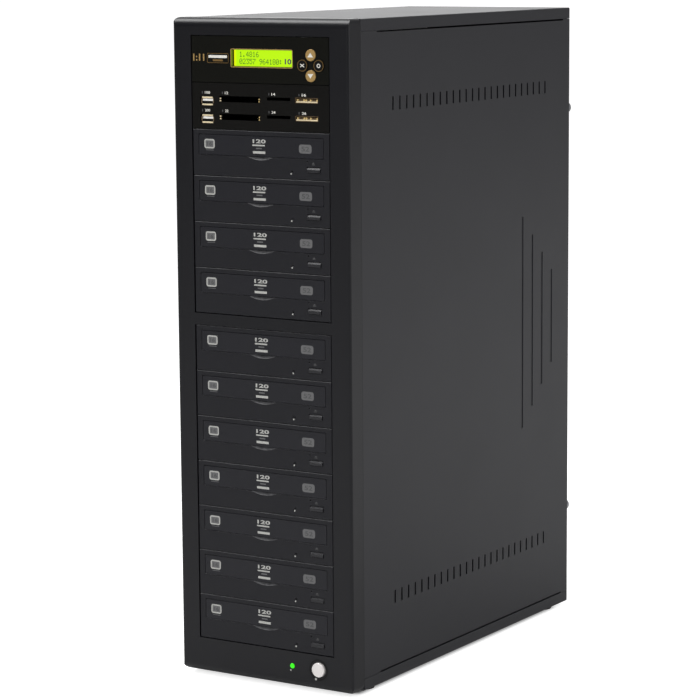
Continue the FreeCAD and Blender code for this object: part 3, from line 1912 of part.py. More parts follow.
SUPPLY_REAR_IN = f"({REAR_SKIN_IN} - supply_wall)"
SUPPLY_ROTOR_START = f"({SUPPLY_REAR_IN} - rotor_gap - supply_rotor_width)"
FAN_FRONT = f"({REAR_SKIN_IN} - fan_depth)"
FAN_ROTOR_START = f"({FAN_FRONT} + fan_plate + rotor_gap)"


def make_supply():
    """The power supply's steel box with the fan's grille and pin and the two rear cut-outs."""
    half = SUPPLY_HALF
    outside = box(
        "supply_outside", both(half), (SUPPLY_FRONT, REAR_SKIN_IN), (SUPPLY_LOW, SUPPLY_HIGH)
    )
    inside = box(
        "supply_inside",
        both(f"{half} - supply_wall"),
        (f"{SUPPLY_FRONT} + supply_wall", SUPPLY_REAR_IN),
        (f"{SUPPLY_LOW} + supply_wall", f"{SUPPLY_HIGH} - supply_wall"),
    )
    shell = cut("supply_shell", outside, [inside])
    pin = rod(
        "supply_fan_pin",
        "y",
        f"{SUPPLY_ROTOR_START} + blade_thickness",
        f"{SUPPLY_REAR_IN} + supply_wall / 2",
        SUPPLY_FAN_CENTRE,
        "spindle_pin_radius",
    )
    through = (f"{SUPPLY_REAR_IN} - overrun", f"{REAR_SKIN_IN} + overrun")
    grille = ring_slits(
        "supply_grille",
        "supply_hub_radius",
        SUPPLY_ROTOR_RADIUS,
        SUPPLY_RINGS,
        SUPPLY_FAN_CENTRE,
        *through,
    )
    inlet = box(
        "inlet_cutout",
        around(INLET_SPOT[0], "inlet_width + key_gap"),
        through,
        around(INLET_SPOT[1], "inlet_height + key_gap"),
    )
    rocker = box(
        "rocker_cutout",
        around(ROCKER_SPOT[0], f"{ROCKER_OUTER_WIDTH} + key_gap"),
        through,
        around(ROCKER_SPOT[1], f"{ROCKER_OUTER_HEIGHT} + key_gap"),
    )
    holes = [
        rod(f"supply_hole_{index}", "y", *through, spot, "screw_hole_radius")
        for index, spot in enumerate(supply_screw_places())
    ]
    solid = fuse("supply_solid", [shell, pin])
    return cut_apart("supply_cut", solid, [grille, inlet, rocker, *holes])


ROCKER_OUTER_WIDTH = "(rocker_width + 2 * rocker_gap + 2 * rocker_wall)"
ROCKER_OUTER_HEIGHT = "(rocker_height + 2 * rocker_gap + 2 * rocker_wall)"
ROCKER_AXIS = f"({REAR_SKIN_IN} - rocker_depth / 2)"


def make_inlet():
    """The mains inlet with its three pins, and the frame that the rocker switch turns in."""
    side, height = INLET_SPOT
    body = box(
        "inlet_body",
        around(side, "inlet_width"),
        (f"{REAR_SKIN_IN} - inlet_depth", f"{REAR_SKIN_IN} + inlet_lip_thickness"),
        around(height, "inlet_height"),
    )
    lip = box(
        "inlet_lip_block",
        around(side, "inlet_width + 2 * inlet_lip"),
        (REAR_SKIN_IN, f"{REAR_SKIN_IN} + inlet_lip_thickness"),
        around(height, "inlet_height + 2 * inlet_lip"),
    )
    mouth = f"({REAR_SKIN_IN} + inlet_lip_thickness)"
    cavity = box(
        "inlet_cavity",
        around(side, "inlet_width - 2 * inlet_wall"),
        (f"{mouth} - inlet_cavity_depth", f"{mouth} + overrun"),
        around(height, "inlet_height - 2 * inlet_wall"),
    )
    shell = cut("inlet_shell", fuse("inlet_solid", [body, lip]), [cavity])
    pin_foot = f"({mouth} - inlet_cavity_depth)"
    pins = [
        box(
            f"inlet_pin_{index}",
            around(f"({side} {across})", "pin_width"),
            (f"{pin_foot} - supply_wall", f"{pin_foot} + pin_length"),
            around(f"({height} {up})", "pin_height"),
        )
        for index, (across, up) in enumerate(
            (("- pin_spread", "- pin_rise"), ("+ 0", "+ pin_rise"), ("+ pin_spread", "- pin_rise"))
        )
    ]
    return group("inlet_set", [fuse("inlet", [shell, *pins]), make_rocker_frame()])


def make_rocker_frame():
    """The frame of the rocker switch, with bearings for the rocker's pin."""
    side, height = ROCKER_SPOT
    body = box(
        "rocker_frame_body",
        around(side, ROCKER_OUTER_WIDTH),
        (f"{ROCKER_AXIS} - rocker_depth", REAR_SKIN_IN),
        around(height, ROCKER_OUTER_HEIGHT),
    )
    lip = box(
        "rocker_frame_lip",
        around(side, f"{ROCKER_OUTER_WIDTH} + 2 * rocker_wall"),
        (REAR_SKIN_IN, f"{REAR_SKIN_IN} + inlet_lip_thickness / 2"),
        around(height, f"{ROCKER_OUTER_HEIGHT} + 2 * rocker_wall"),
    )
    space = box(
        "rocker_frame_space",
        around(side, "rocker_width + 2 * rocker_gap"),
        (f"{ROCKER_AXIS} - rocker_depth + rocker_wall", f"{REAR_SKIN_IN} + inlet_lip_thickness"),
        around(height, "rocker_height + 2 * rocker_gap"),
    )
    bearing = rod(
        "rocker_bearing",
        "x",
        f"{side} - rocker_width / 2 - rocker_gap - rocker_wall / 2",
        f"{side} + rocker_width / 2 + rocker_gap + rocker_wall / 2",
        (ROCKER_AXIS, height),
        "rocker_pin_radius + running_fit",
    )
    return cut("rocker_frame", fuse("rocker_frame_solid", [body, lip]), [space, bearing])


def make_rocker():
    """The rocker: a round backed paddle on its pin, tipped to its rest side."""
    half = "(rocker_width / 2)"
    round_radius = "(rocker_height / 2)"
    paddle = overlap(
        "rocker_paddle",
        [
            rod("rocker_round", "x", f"-{half}", half, ("0", "0"), round_radius),
            box(
                "rocker_band",
                both(half),
                ("-rocker_depth / 2", "rocker_depth / 2 + rocker_proud"),
                both(round_radius),
            ),
        ],
    )
    pin_half = f"({half} + rocker_gap + rocker_wall / 2 - running_fit)"
    pin = rod(
        "rocker_pin", "x", f"-{pin_half}", pin_half, ("0", "0"), "rocker_pin_radius"
    )
    rocker = fuse("rocker_solid", [paddle, pin])
    tipped = group("rocker_tipped", [rocker])
    tipped.Placement.Rotation = FreeCAD.Rotation(
        FreeCAD.Vector(1, 0, 0), number("rocker_tilt")
    )
    side, height = ROCKER_SPOT
    move(tipped, side, ROCKER_AXIS, height)
    return group("rocker_placed", [tipped])


def make_fan_frame():
    """The rear fan's square frame, with four struts that carry the rotor's pin."""
    side, height = FAN_CENTRE
    depth = (FAN_FRONT, REAR_SKIN_IN)
    block = box("fan_block", around(side, "fan_size"), depth, around(height, "fan_size"))
    through = (f"{FAN_FRONT} - overrun", f"{REAR_SKIN_IN} + overrun")
    bore = rod("fan_bore", "y", *through, FAN_CENTRE, FAN_BORE)
    holes = [
        rod(f"fan_hole_{index}", "y", *through, spot, "screw_hole_radius")
        for index, spot in enumerate(fan_screw_places())
    ]
    ring = cut_apart("fan_ring", block, [bore, *holes])
    plate = (FAN_FRONT, f"{FAN_FRONT} + fan_plate")
    struts = [
        box(
            "fan_strut_across",
            around(side, f"2 * {FAN_BORE} + fan_strut"),
            plate,
            around(height, "fan_strut"),
        ),
        box(
            "fan_strut_upright",
            around(side, "fan_strut"),
            plate,
            around(height, f"2 * {FAN_BORE} + fan_strut"),
        ),
    ]
    seat = rod("fan_seat", "y", *plate, FAN_CENTRE, "fan_hub_radius")
    pin = rod(
        "fan_pin",
        "y",
        FAN_FRONT,
        f"{FAN_ROTOR_START} + fan_rotor_width - 2 * blade_thickness",
        FAN_CENTRE,
        "spindle_pin_radius",
    )
    return fuse("fan_frame", [ring, *struts, seat, pin])


# Feet and screws


def make_foot():
    """A tapered rubber foot with a bore for its screw head."""
    narrow = "(foot_radius - foot_taper)"
    return turned(
        "foot_body",
        "XZ_Plane",
        [
            ("screw_hole_radius", "foot_height"),
            ("foot_radius", "foot_height"),
            (narrow, "0"),
            ("foot_bore_radius", "0"),
            ("foot_bore_radius", "foot_bore_depth"),
            ("screw_hole_radius", "foot_bore_depth"),
        ],
    )


SCREW_WAYS = {
    "right": FreeCAD.Rotation(FreeCAD.Vector(0, 1, 0), 90),
    "left": FreeCAD.Rotation(FreeCAD.Vector(0, 1, 0), -90),
    "back": FreeCAD.Rotation(FreeCAD.Vector(1, 0, 0), -90),
    "down": FreeCAD.Rotation(FreeCAD.Vector(1, 0, 0), 180),
}


def make_screws():
    """Every small screw. The master's head stands on Z zero and its shank points down."""
    screw = fuse(
        "screw",
        [
            rod("screw_head", "z", "0", "screw_head_height", ("0", "0"), "screw_head_radius"),
            rod("screw_shank", "z", "-screw_length", "0", ("0", "0"), "screw_radius"),
        ],
    )
    seats = []
    for bay in range(BAYS):
        height = f"({bay_top(bay)} - {SCREW_DROP})"
        for depth in bay_screw_depths(bay):
            seats.append(("right", f"({CAGE_HALF} + sheet)", depth, height))
            seats.append(("left", f"(-({CAGE_HALF} + sheet))", depth, height))
    for side, height in bezel_screw_places():
        seats.append(("back", side, CAGE_BACK, height))
    for side, height in fan_screw_places() + supply_screw_places():
        seats.append(("back", side, REAR_SKIN_OUT, height))
    for side, depth in foot_places():
        seats.append(("down", side, depth, "foot_bore_depth"))
    return group(
        "screw_set",
        [
            copy(f"screw_{index}", screw, SCREW_WAYS[way], x=side, y=depth, z=height)
            for index, (way, side, depth, height) in enumerate(seats)
        ],
    )


# The sub-parts

place("front_bezel", make_front_bezel())
place("power_button", make_power_button(), CONTROL_HEIGHT)
place("power_lamp", make_power_lamp(), CONTROL_HEIGHT)
place("top_cover", make_top_cover())
place("base_pan", make_base_pan())
right_panel = place("right_side_panel", make_side_panel_set())
left_panel = doc.addObject("Part::Mirroring", "left_panel")
left_panel.Source = right_panel
left_panel.Normal = FreeCAD.Vector(1, 0, 0)
left_panel.Label = "left_side_panel"
parts.append(left_panel)
place("rear_panel", make_rear_panel())
place("drive_cage", make_drive_cage())

drive_face = make_drive_bezel()
tray = [make_tray_plate(), make_tray_door()]
eject_button = make_eject_button()
drive_case = make_drive_case()
for drive in range(1, BAYS - PANEL_BAYS + 1):
    level = bay_top(drive - 1 + PANEL_BAYS)
    place(f"drive_bezel_{drive:02d}", group(f"face_of_{drive}", [drive_face]), level)
    place(f"tray_{drive:02d}", group(f"tray_of_{drive}", tray), level)
    place(f"eject_button_{drive:02d}", group(f"eject_of_{drive}", [eject_button]), level)
cases = [
    copy(f"case_of_{bay}", drive_case, z=bay_top(bay))
    for bay in range(PANEL_BAYS, BAYS)
]
place("drive_cases", group("case_stack", cases))

DISPLAY_BAY = bay_top(0)
READER_BAY = bay_top(1)
place("controller_panel", make_controller_panel(), DISPLAY_BAY)
place("lcd_module", make_display(), DISPLAY_BAY)
for key_name, (key_side, key_height) in KEY_PLACES.items():
    key_body = make_key(key_name)
    move(key_body, x=key_side)
    place(key_name, key_body, f"{DISPLAY_BAY} + {key_height}")
place("card_reader_panel", make_reader_panel(), READER_BAY)
place("card_sockets", make_card_sockets(), READER_BAY)
boards = [
    make_power_board(),
    copy("keypad_in_bay", make_keypad_board(), z=DISPLAY_BAY),
    copy("control_board_in_bay", make_control_board(), z=DISPLAY_BAY),
]
for board_row, board_drop in enumerate(reader_drops()):
    reader_board = make_reader_board(board_row, board_drop)
    boards.append(copy(f"reader_board_in_bay_{board_row}", reader_board, z=READER_BAY))
place("circuit_boards", group("board_set", boards))

place("psu_housing", make_supply())
place("psu_inlet", make_inlet())
place("psu_rocker", make_rocker())
place(
    "psu_fan_rotor",
    make_rotor(
        "supply_fan",
        "supply_hub_radius",
        SUPPLY_ROTOR_RADIUS,
        "supply_rotor_width",
        SUPPLY_BLADES,
        SUPPLY_FAN_CENTRE,
        SUPPLY_ROTOR_START,
    ),
    SUPPLY_FAN_CENTRE[1],
)
place("rear_fan_frame", make_fan_frame())
place(
    "rear_fan_rotor",
    make_rotor(
        "rear_fan",
        "fan_hub_radius",
        FAN_ROTOR_RADIUS,
        "fan_rotor_width",
        FAN_BLADES,
        FAN_CENTRE,
        FAN_ROTOR_START,
    ),
    FAN_CENTRE[1],
)
foot = make_foot()
feet = [
    copy(f"foot_{index}", foot, x=side, y=depth)
    for index, (side, depth) in enumerate(foot_places())
]
place("feet", group("foot_set", feet))
place("screws", make_screws())


# Checks and files

doc.recompute()
for thing in doc.Objects:
    if "Invalid" in thing.State or "Error" in thing.State:
        raise RuntimeError(f"{thing.Name} has failed: {thing.State}")
for piece in parts:
    shape = piece.Shape
    if shape.isNull() or not shape.isValid() or not shape.Solids:
        raise RuntimeError(f"{piece.Label} has no sound shape")

os.makedirs("parts", exist_ok=True)
for piece in parts:
    piece.Shape.exportStep(f"parts/{piece.Label}.step")
print(f"{len(parts)} sub-parts written")
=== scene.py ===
"""The looks of a desktop tower that copies discs: eleven drives, a control panel, a card reader.

Every size below is in millimetres, in the tower's own frame: the front faces -Y, +X is on the
right for somebody who looks at the front, and +Z is up. A shape is modelled in millimetres and is
scaled to metres when it is finished.
"""

import json
import logging
import math
from collections.abc import Mapping
from dataclasses import dataclass, field
from enum import Enum

import bmesh
import bpy
from mathutils import Matrix, Vector


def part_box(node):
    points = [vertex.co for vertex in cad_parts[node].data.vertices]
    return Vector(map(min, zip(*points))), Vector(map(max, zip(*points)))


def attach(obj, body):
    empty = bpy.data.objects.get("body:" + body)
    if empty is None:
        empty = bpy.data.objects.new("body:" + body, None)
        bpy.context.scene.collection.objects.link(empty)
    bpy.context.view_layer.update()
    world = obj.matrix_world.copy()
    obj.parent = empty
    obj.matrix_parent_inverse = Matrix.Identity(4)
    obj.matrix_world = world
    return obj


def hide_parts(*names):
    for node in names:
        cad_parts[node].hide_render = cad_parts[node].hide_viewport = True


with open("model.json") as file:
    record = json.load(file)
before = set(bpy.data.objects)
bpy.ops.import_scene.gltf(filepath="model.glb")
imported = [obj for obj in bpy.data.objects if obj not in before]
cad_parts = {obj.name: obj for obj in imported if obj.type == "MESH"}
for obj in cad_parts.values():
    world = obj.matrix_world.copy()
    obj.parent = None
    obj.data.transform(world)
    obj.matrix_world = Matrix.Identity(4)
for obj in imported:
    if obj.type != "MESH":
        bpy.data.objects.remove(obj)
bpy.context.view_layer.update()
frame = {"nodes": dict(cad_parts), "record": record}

MM = 0.001
LOG = logging.getLogger("disc_tower")

BODY_TOWER = "tower"
DRIVE_COUNT = 11

Colour = tuple[int, int, int]
Pair = tuple[float, float]
Triple = tuple[float, float, float]
Outline = tuple[Pair, float, float, float]  # size, thickness, corner and line
Fill = float | tuple[float, ...] | bpy.types.NodeSocket

BLACK = (0.0, 0.0, 0.0, 1.0)
WHITE = (1.0, 1.0, 1.0, 1.0)


def linear(colour: Colour) -> tuple[float, float, float, float]:
    """Turn an 8-bit screen colour into a linear one, by the rule for screens.

    Args:
        colour: Red, green and blue from 0 to 255.

    Returns:
        Linear red, green, blue and an alpha of one.
    """
    shares = [value / 255 for value in colour]
    red, green, blue = (
        share / 12.92 if share <= 0.04045 else ((share + 0.055) / 1.055) ** 2.4
        for share in shares
    )
    return red, green, blue, 1.0


def spot(place: Pair, depth: float) -> Vector:
    """Give a point by its place across and up, and by its depth."""
    across, up = place
    return Vector((across, depth, up))


def node_box(node: str) -> tuple[Vector, Vector]:
    """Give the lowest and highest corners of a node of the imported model, in millimetres."""
    low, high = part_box(node)
    return low / MM, high / MM


# ---------- Finishes ----------


class Surface(Enum):
    """What a finish feels like under a finger."""

    MOULDED = "moulded"
    POWDER = "powder"
    GLOSS = "gloss"
    BRUSHED = "brushed"
    SPANGLE = "spangle"
    PRINTED = "printed"
    LIT = "lit"


@dataclass(frozen=True)
class Grain:
    """How one kind of surface breaks up the light.

    Attributes:
        fine: Size of the fine grain in millimetres.
        depth: Height of the fine grain in millimetres.
        broad: Size of the broad unevenness in millimetres.
        colour_shift: Share by which the broad unevenness darkens the colour.
        gloss_shift: How far the broad unevenness moves the roughness.
        pebble: Share of rounded pebbles in the grain, against plain noise.
        stretch: How much longer than wide the grain is along the tower's height.
    """

    fine: float
    depth: float
    broad: float
    colour_shift: float
    gloss_shift: float
    pebble: float = 0.0
    stretch: float = 1.0


GRAINS: dict[Surface, Grain] = {
    Surface.MOULDED: Grain(0.5, 0.010, 26.0, 0.16, 0.05, pebble=0.35),
    Surface.POWDER: Grain(0.9, 0.022, 70.0, 0.12, 0.05, pebble=0.7),
    Surface.GLOSS: Grain(2.4, 0.002, 40.0, 0.10, 0.03),
    Surface.BRUSHED: Grain(0.25, 0.004, 9.0, 0.14, 0.08, stretch=14.0),
    Surface.SPANGLE: Grain(5.0, 0.004, 12.0, 0.22, 0.12, pebble=1.0),
    Surface.PRINTED: Grain(0.3, 0.003, 4.0, 0.10, 0.04),
    Surface.LIT: Grain(0.6, 0.001, 20.0, 0.04, 0.02),
}


@dataclass(frozen=True)
class Finish:
    """One finish of the tower.

    Attributes:
        name: The material's name.
        colour: Screen colour from 0 to 255.
        surface: The kind of surface.
        roughness: Roughness of the shader.
        specular: Specular level of the shader.
        metallic: Share of metal.
        glow: Strength of the finish's own light.
        dust_and_sheen: Share of pale grey laid in specks on faces that look up. It is fine dust
            where the share is small, and painted highlight on up-facing slopes where it is large.
    """

    name: str
    colour: Colour
    surface: Surface
    roughness: float
    specular: float = 0.5
    metallic: float = 0.0
    glow: float = 0.0
    dust_and_sheen: float = 0.0


BEZEL = Finish("bezel_plastic", (14, 14, 19), Surface.MOULDED, 0.35, 0.34, dust_and_sheen=0.02)
CASE = Finish("case_powder_coat", (29, 29, 34), Surface.POWDER, 0.44, 0.4, dust_and_sheen=0.05)
STEEL = Finish("zinc_plated_steel", (176, 178, 180), Surface.SPANGLE, 0.36, metallic=1.0)
# Much pale grey on its up-facing slopes: painted highlight that lightens the scoops under the
# doors.
DRIVE = Finish("drive_face_plastic", (24, 24, 29), Surface.MOULDED, 0.46, 0.3, dust_and_sheen=0.9)
TRAY = Finish("tray_plastic", (25, 25, 31), Surface.MOULDED, 0.42, 0.34)
# Its pale grey on faces that look up is painted highlight on the button's upper bevel.
EJECT = Finish("eject_plastic", (30, 30, 34), Surface.MOULDED, 0.36, 0.45, dust_and_sheen=0.15)
CONTROL = Finish("control_face_gloss", (15, 15, 11), Surface.GLOSS, 0.24, 0.16)
READER = Finish("reader_face_plastic", (13, 12, 10), Surface.GLOSS, 0.38, 0.16)
MODULE = Finish("display_module_black", (14, 15, 14), Surface.MOULDED, 0.5, 0.3)
GOLD = Finish("gold_paint", (172, 140, 84), Surface.PRINTED, 0.42, 0.5, metallic=0.25)
GOLD_DIM = Finish("gold_paint_dim", (122, 94, 48), Surface.PRINTED, 0.45, 0.4, metallic=0.25)
KEY_BLACK = Finish("key_black", (13, 12, 11), Surface.GLOSS, 0.35, 0.15)
NICKEL = Finish("nickel_shell", (232, 214, 190), Surface.BRUSHED, 0.22, metallic=1.0)
# Pale finish that paints the highlight on the shells' lips, the left guides and the slim card's
# foot strip.
GLINTING_LIP = Finish("shell_lip_painted_glint", (240, 222, 184), Surface.BRUSHED, 0.4, metallic=0.2)
# Dim gold: the mouths' edge lines, and painted shade on the fingers that do not glint.
EDGE_GOLD_AND_SHADE = Finish("socket_edge_gold_and_shade", (104, 84, 58), Surface.BRUSHED, 0.4, metallic=0.3)
# Bright gold: the real contacts, and painted glints on some guides and fingers.
CONTACT_AND_GLINT = Finish("gold_contact_and_glint", (236, 206, 140), Surface.BRUSHED, 0.34, metallic=0.3)
TONGUE = Finish("socket_tongue_white", (250, 248, 244), Surface.MOULDED, 0.4)
# Black of the sockets' housings, also used as painted shade behind the panels' gap and round the
# power button.
SOCKET_BLACK_AND_SHADE = Finish("socket_black_and_painted_shade", (8, 8, 8), Surface.MOULDED, 0.55, 0.2)
CIRCUIT = Finish("circuit_green", (24, 84, 52), Surface.GLOSS, 0.35)
SILVER = Finish("button_silver", (240, 235, 233), Surface.MOULDED, 0.34, metallic=0.15)
LAMP = Finish("lamp_green_lit", (60, 255, 20), Surface.LIT, 0.25, glow=1.0)
INLET = Finish("inlet_black", (24, 24, 25), Surface.MOULDED, 0.42, 0.4)
ROCKER = Finish("rocker_gloss_black", (20, 20, 21), Surface.GLOSS, 0.22, 0.5)
FAN = Finish("fan_black", (26, 26, 27), Surface.MOULDED, 0.4, 0.4)
RUBBER = Finish("foot_rubber", (28, 28, 28), Surface.MOULDED, 0.75, 0.3)
SCREW = Finish("screw_zinc", (150, 152, 156), Surface.BRUSHED, 0.32, metallic=1.0)
PRINT_WHITE = Finish("print_white", (226, 224, 216), Surface.PRINTED, 0.5)
# Light grey print, also used for painted glints under the drives' pinholes.
PRINT_LIGHT_AND_GLINT = Finish("print_light_grey_and_glint", (176, 176, 172), Surface.PRINTED, 0.5)
PRINT_SOFT = Finish("print_soft_grey", (98, 98, 99), Surface.PRINTED, 0.5)
PRINT_FAINT = Finish("print_faint_grey", (74, 74, 75), Surface.PRINTED, 0.5)
LENS = Finish("lamp_lens_dark", (12, 13, 12), Surface.GLOSS, 0.18, 0.5)
PICTURE = Finish("display_picture_lit", (192, 250, 14), Surface.LIT, 0.5, 0.2, glow=1.0)
DISPLAY_INK = Finish("display_ink_green", (74, 136, 36), Surface.LIT, 0.5, 0.2, glow=1.0)
DISPLAY_DARK = Finish("display_ink_dark", (72, 62, 84), Surface.LIT, 0.5, 0.2, glow=1.0)
# The liner glows though it is no lamp: painted light from the display on the window's lining.
PAINTED_LIGHT_LINER = Finish("display_liner_painted_light", (104, 122, 24), Surface.LIT, 0.4, 0.3, glow=0.9)

SLOT_FINISHES: dict[str, Finish] = {
    "bezel_plastic": BEZEL,
    "case_paint": CASE,
    "chassis_steel": STEEL,
    "drive_plastic": DRIVE,
    "tray_plastic": TRAY,
    "eject_plastic": EJECT,
    "panel_gloss": CONTROL,
    "reader_plastic": READER,
    "display_lit": MODULE,
    "key_gold": GOLD,
    "key_black": KEY_BLACK,
    "socket_metal": SOCKET_BLACK_AND_SHADE,
    "circuit_green": CIRCUIT,
    "button_silver": SILVER,
    "lamp_green": LAMP,
    "inlet_plastic": INLET,
    "rocker_plastic": ROCKER,
    "fan_plastic": FAN,
    "foot_rubber": RUBBER,
    "screw_steel": SCREW,
}


class Step(Enum):
    """One step of arithmetic, by the name that a Math node gives it."""

    ADD = "ADD"
    SUBTRACT = "SUBTRACT"
    MULTIPLY = "MULTIPLY"
    LARGER = "MAXIMUM"
    UNSIGNED = "ABSOLUTE"
    ROOT = "SQRT"


class Graph:
    """A node tree with short ways to add and join nodes."""

    def __init__(self, tree: bpy.types.NodeTree) -> None:
        """Wrap the tree of a material, a world or a group."""
        self.tree = tree

    def add(
        self, kind: str, inputs: Mapping[str | int, Fill] | None = None, **settings: object
    ) -> bpy.types.Node:
        """Add a node.

        Args:
            kind: The node's type.
            inputs: What its inputs get, by name or number: a constant, or the output to join.
            **settings: The node's own settings, by name.

        Returns:
            The new node.
        """
        node = self.tree.nodes.new(kind)
        for name, value in settings.items():
            setattr(node, name, value)
        for key, fill in (inputs or {}).items():
            if isinstance(fill, bpy.types.NodeSocket):
                self.join(fill, node.inputs[key])
            else:
                node.inputs[key].default_value = fill
        return node

    def join(self, source: bpy.types.NodeSocket, target: bpy.types.NodeSocket) -> None:
        """Join an output to an input."""
        self.tree.links.new(source, target)

    def work_out(self, step: Step, first: Fill, second: Fill = 0.0) -> bpy.types.NodeSocket:
        """Work out one step of arithmetic, and give the output that holds its result."""
        math_node = self.add("ShaderNodeMath", {0: first, 1: second}, operation=step.value)
        return math_node.outputs[0]

    def blend(self, share: Fill, first: Fill, second: Fill) -> bpy.types.NodeSocket:
        """Mix two colours by the share of the second, and give the output that holds the mix."""
        inputs = {0: share, 6: first, 7: second}
        return self.add("ShaderNodeMix", inputs, data_type="RGBA").outputs[2]

    def ramp(
        self, value: Fill, start: Pair, end: Pair = (0.0, 1.0), smooth: bool = True
    ) -> bpy.types.NodeSocket:
        """Turn one range of numbers into another, and keep to its ends.

        Args:
            value: The number.
            start: The ends of the first range.
            end: What they turn into.
            smooth: Whether the change starts and ends softly.

        Returns:
            The output that holds the result.
        """
        ends = zip(("From Min", "From Max", "To Min", "To Max"), start + end)
        course = "SMOOTHSTEP" if smooth else "LINEAR"
        inputs = {"Value": value, **dict(ends)}
        return self.add("ShaderNodeMapRange", inputs, interpolation_type=course).outputs[0]

    def axes(self, vector: Fill) -> bpy.types.NodeOutputs:
        """Give the X, Y and Z of a vector."""
        return self.add("ShaderNodeSeparateXYZ", {0: vector}).outputs


class Effects:
    """The node groups that the finishes share, each built once."""

    GRAIN_NOISE = {"Detail": 3.0, "Roughness": 0.55}
    CLOUD_NOISE = {"Detail": 5.0, "Distortion": 0.4}
    # Specks and slopes of the pale grey that lays dust and painted highlight on faces that look
    # up.
    DUST_AND_SHEEN_NOISE = {"Scale": 320.0, "Detail": 6.0}
    DUST_AND_SHEEN_SLOPES = (0.35, 0.95)
    MEAN = 0.5

    def __init__(self) -> None:
        """Build the groups."""
        self.grain = self._grain()
        self.unevenness = self._unevenness()
        self.dust_and_sheen = self._dust_and_sheen()

    @staticmethod
    def _group(
        name: str, inputs: Mapping[str, str], outputs: Mapping[str, str]
    ) -> tuple[Graph, bpy.types.NodeOutputs, bpy.types.NodeInputs]:
        """Start a group.

        Args:
            name: The group's name.
            inputs: The kind of each value that goes in, by name.
            outputs: The kind of each value that comes out, by name.

        Returns:
            The group's graph, what is given to it, and what it has to fill in.
        """
        tree = bpy.data.node_groups.new(name, "ShaderNodeTree")
        for way, values in (("INPUT", inputs), ("OUTPUT", outputs)):
            for label, kind in values.items():
                tree.interface.new_socket(label, in_out=way, socket_type=f"NodeSocket{kind}")
        graph = Graph(tree)
        return graph, graph.add("NodeGroupInput").outputs, graph.add("NodeGroupOutput").inputs

    def _grain(self) -> bpy.types.NodeTree:
        """Build the fine grain: plain noise mixed with rounded pebbles.

        Returns:
            The group, which gives a height from 0 to 1.
        """
        graph, given, result = self._group(
            "fine_grain",
            {"Position": "Vector", "Per metre": "Float", "Pebble share": "Float"},
            {"Height": "Float"},
        )
        where = {"Vector": given["Position"], "Scale": given["Per metre"]}
        noise = graph.add("ShaderNodeTexNoise", {**where, **self.GRAIN_NOISE})
        pebbles = graph.add("ShaderNodeTexVoronoi", where, feature="SMOOTH_F1")
        heights = {2: noise.outputs["Fac"], 3: pebbles.outputs["Distance"]}
        mix = graph.add(
            "ShaderNodeMix", {0: given["Pebble share"], **heights}, data_type="FLOAT"
        )
        graph.join(mix.outputs[0], result["Height"])
        return graph.tree

    def _unevenness(self) -> bpy.types.NodeTree:
        """Build the broad unevenness.

        Returns:
            The group, which darkens a colour in clouds, and moves a roughness with them.
        """
        graph, given, result = self._group(
            "broad_unevenness",
            {
                "Position": "Vector",
                "Per metre": "Float",
                "Colour": "Color",
                "Colour shift": "Float",
                "Roughness": "Float",
                "Gloss shift": "Float",
            },
            {"Colour": "Color", "Roughness": "Float"},
        )
        where = {"Vector": given["Position"], "Scale": given["Per metre"]}
        clouds = graph.add("ShaderNodeTexNoise", {**where, **self.CLOUD_NOISE})
        cloud = clouds.outputs["Fac"]
        darkness = graph.work_out(Step.MULTIPLY, cloud, given["Colour shift"])
        graph.join(graph.blend(darkness, given["Colour"], BLACK), result["Colour"])
        centred = graph.work_out(Step.SUBTRACT, cloud, self.MEAN)
        shift = graph.work_out(Step.MULTIPLY, centred, given["Gloss shift"])
        graph.join(graph.work_out(Step.ADD, shift, given["Roughness"]), result["Roughness"])
        return graph.tree

    def _dust_and_sheen(self) -> bpy.types.NodeTree:
        """Build the fine dust and painted sheen.

        Returns:
            The group, which gives a mask: high on faces that look up, broken up in specks. It
                lays fine dust, and painted highlight where much of it is laid.
        """
        graph, given, result = self._group(
            "fine_dust_and_sheen",
            {"Position": "Vector", "Facing": "Vector", "Amount": "Float"},
            {"Mask": "Float"},
        )
        slope = graph.axes(given["Facing"])["Z"]
        upward = graph.ramp(slope, self.DUST_AND_SHEEN_SLOPES, smooth=False)
        inputs = {"Vector": given["Position"], **self.DUST_AND_SHEEN_NOISE}
        specks = graph.add("ShaderNodeTexNoise", inputs)
        mask = graph.work_out(Step.MULTIPLY, upward, specks.outputs["Fac"])
        graph.join(graph.work_out(Step.MULTIPLY, mask, given["Amount"]), result["Mask"])
        return graph.tree


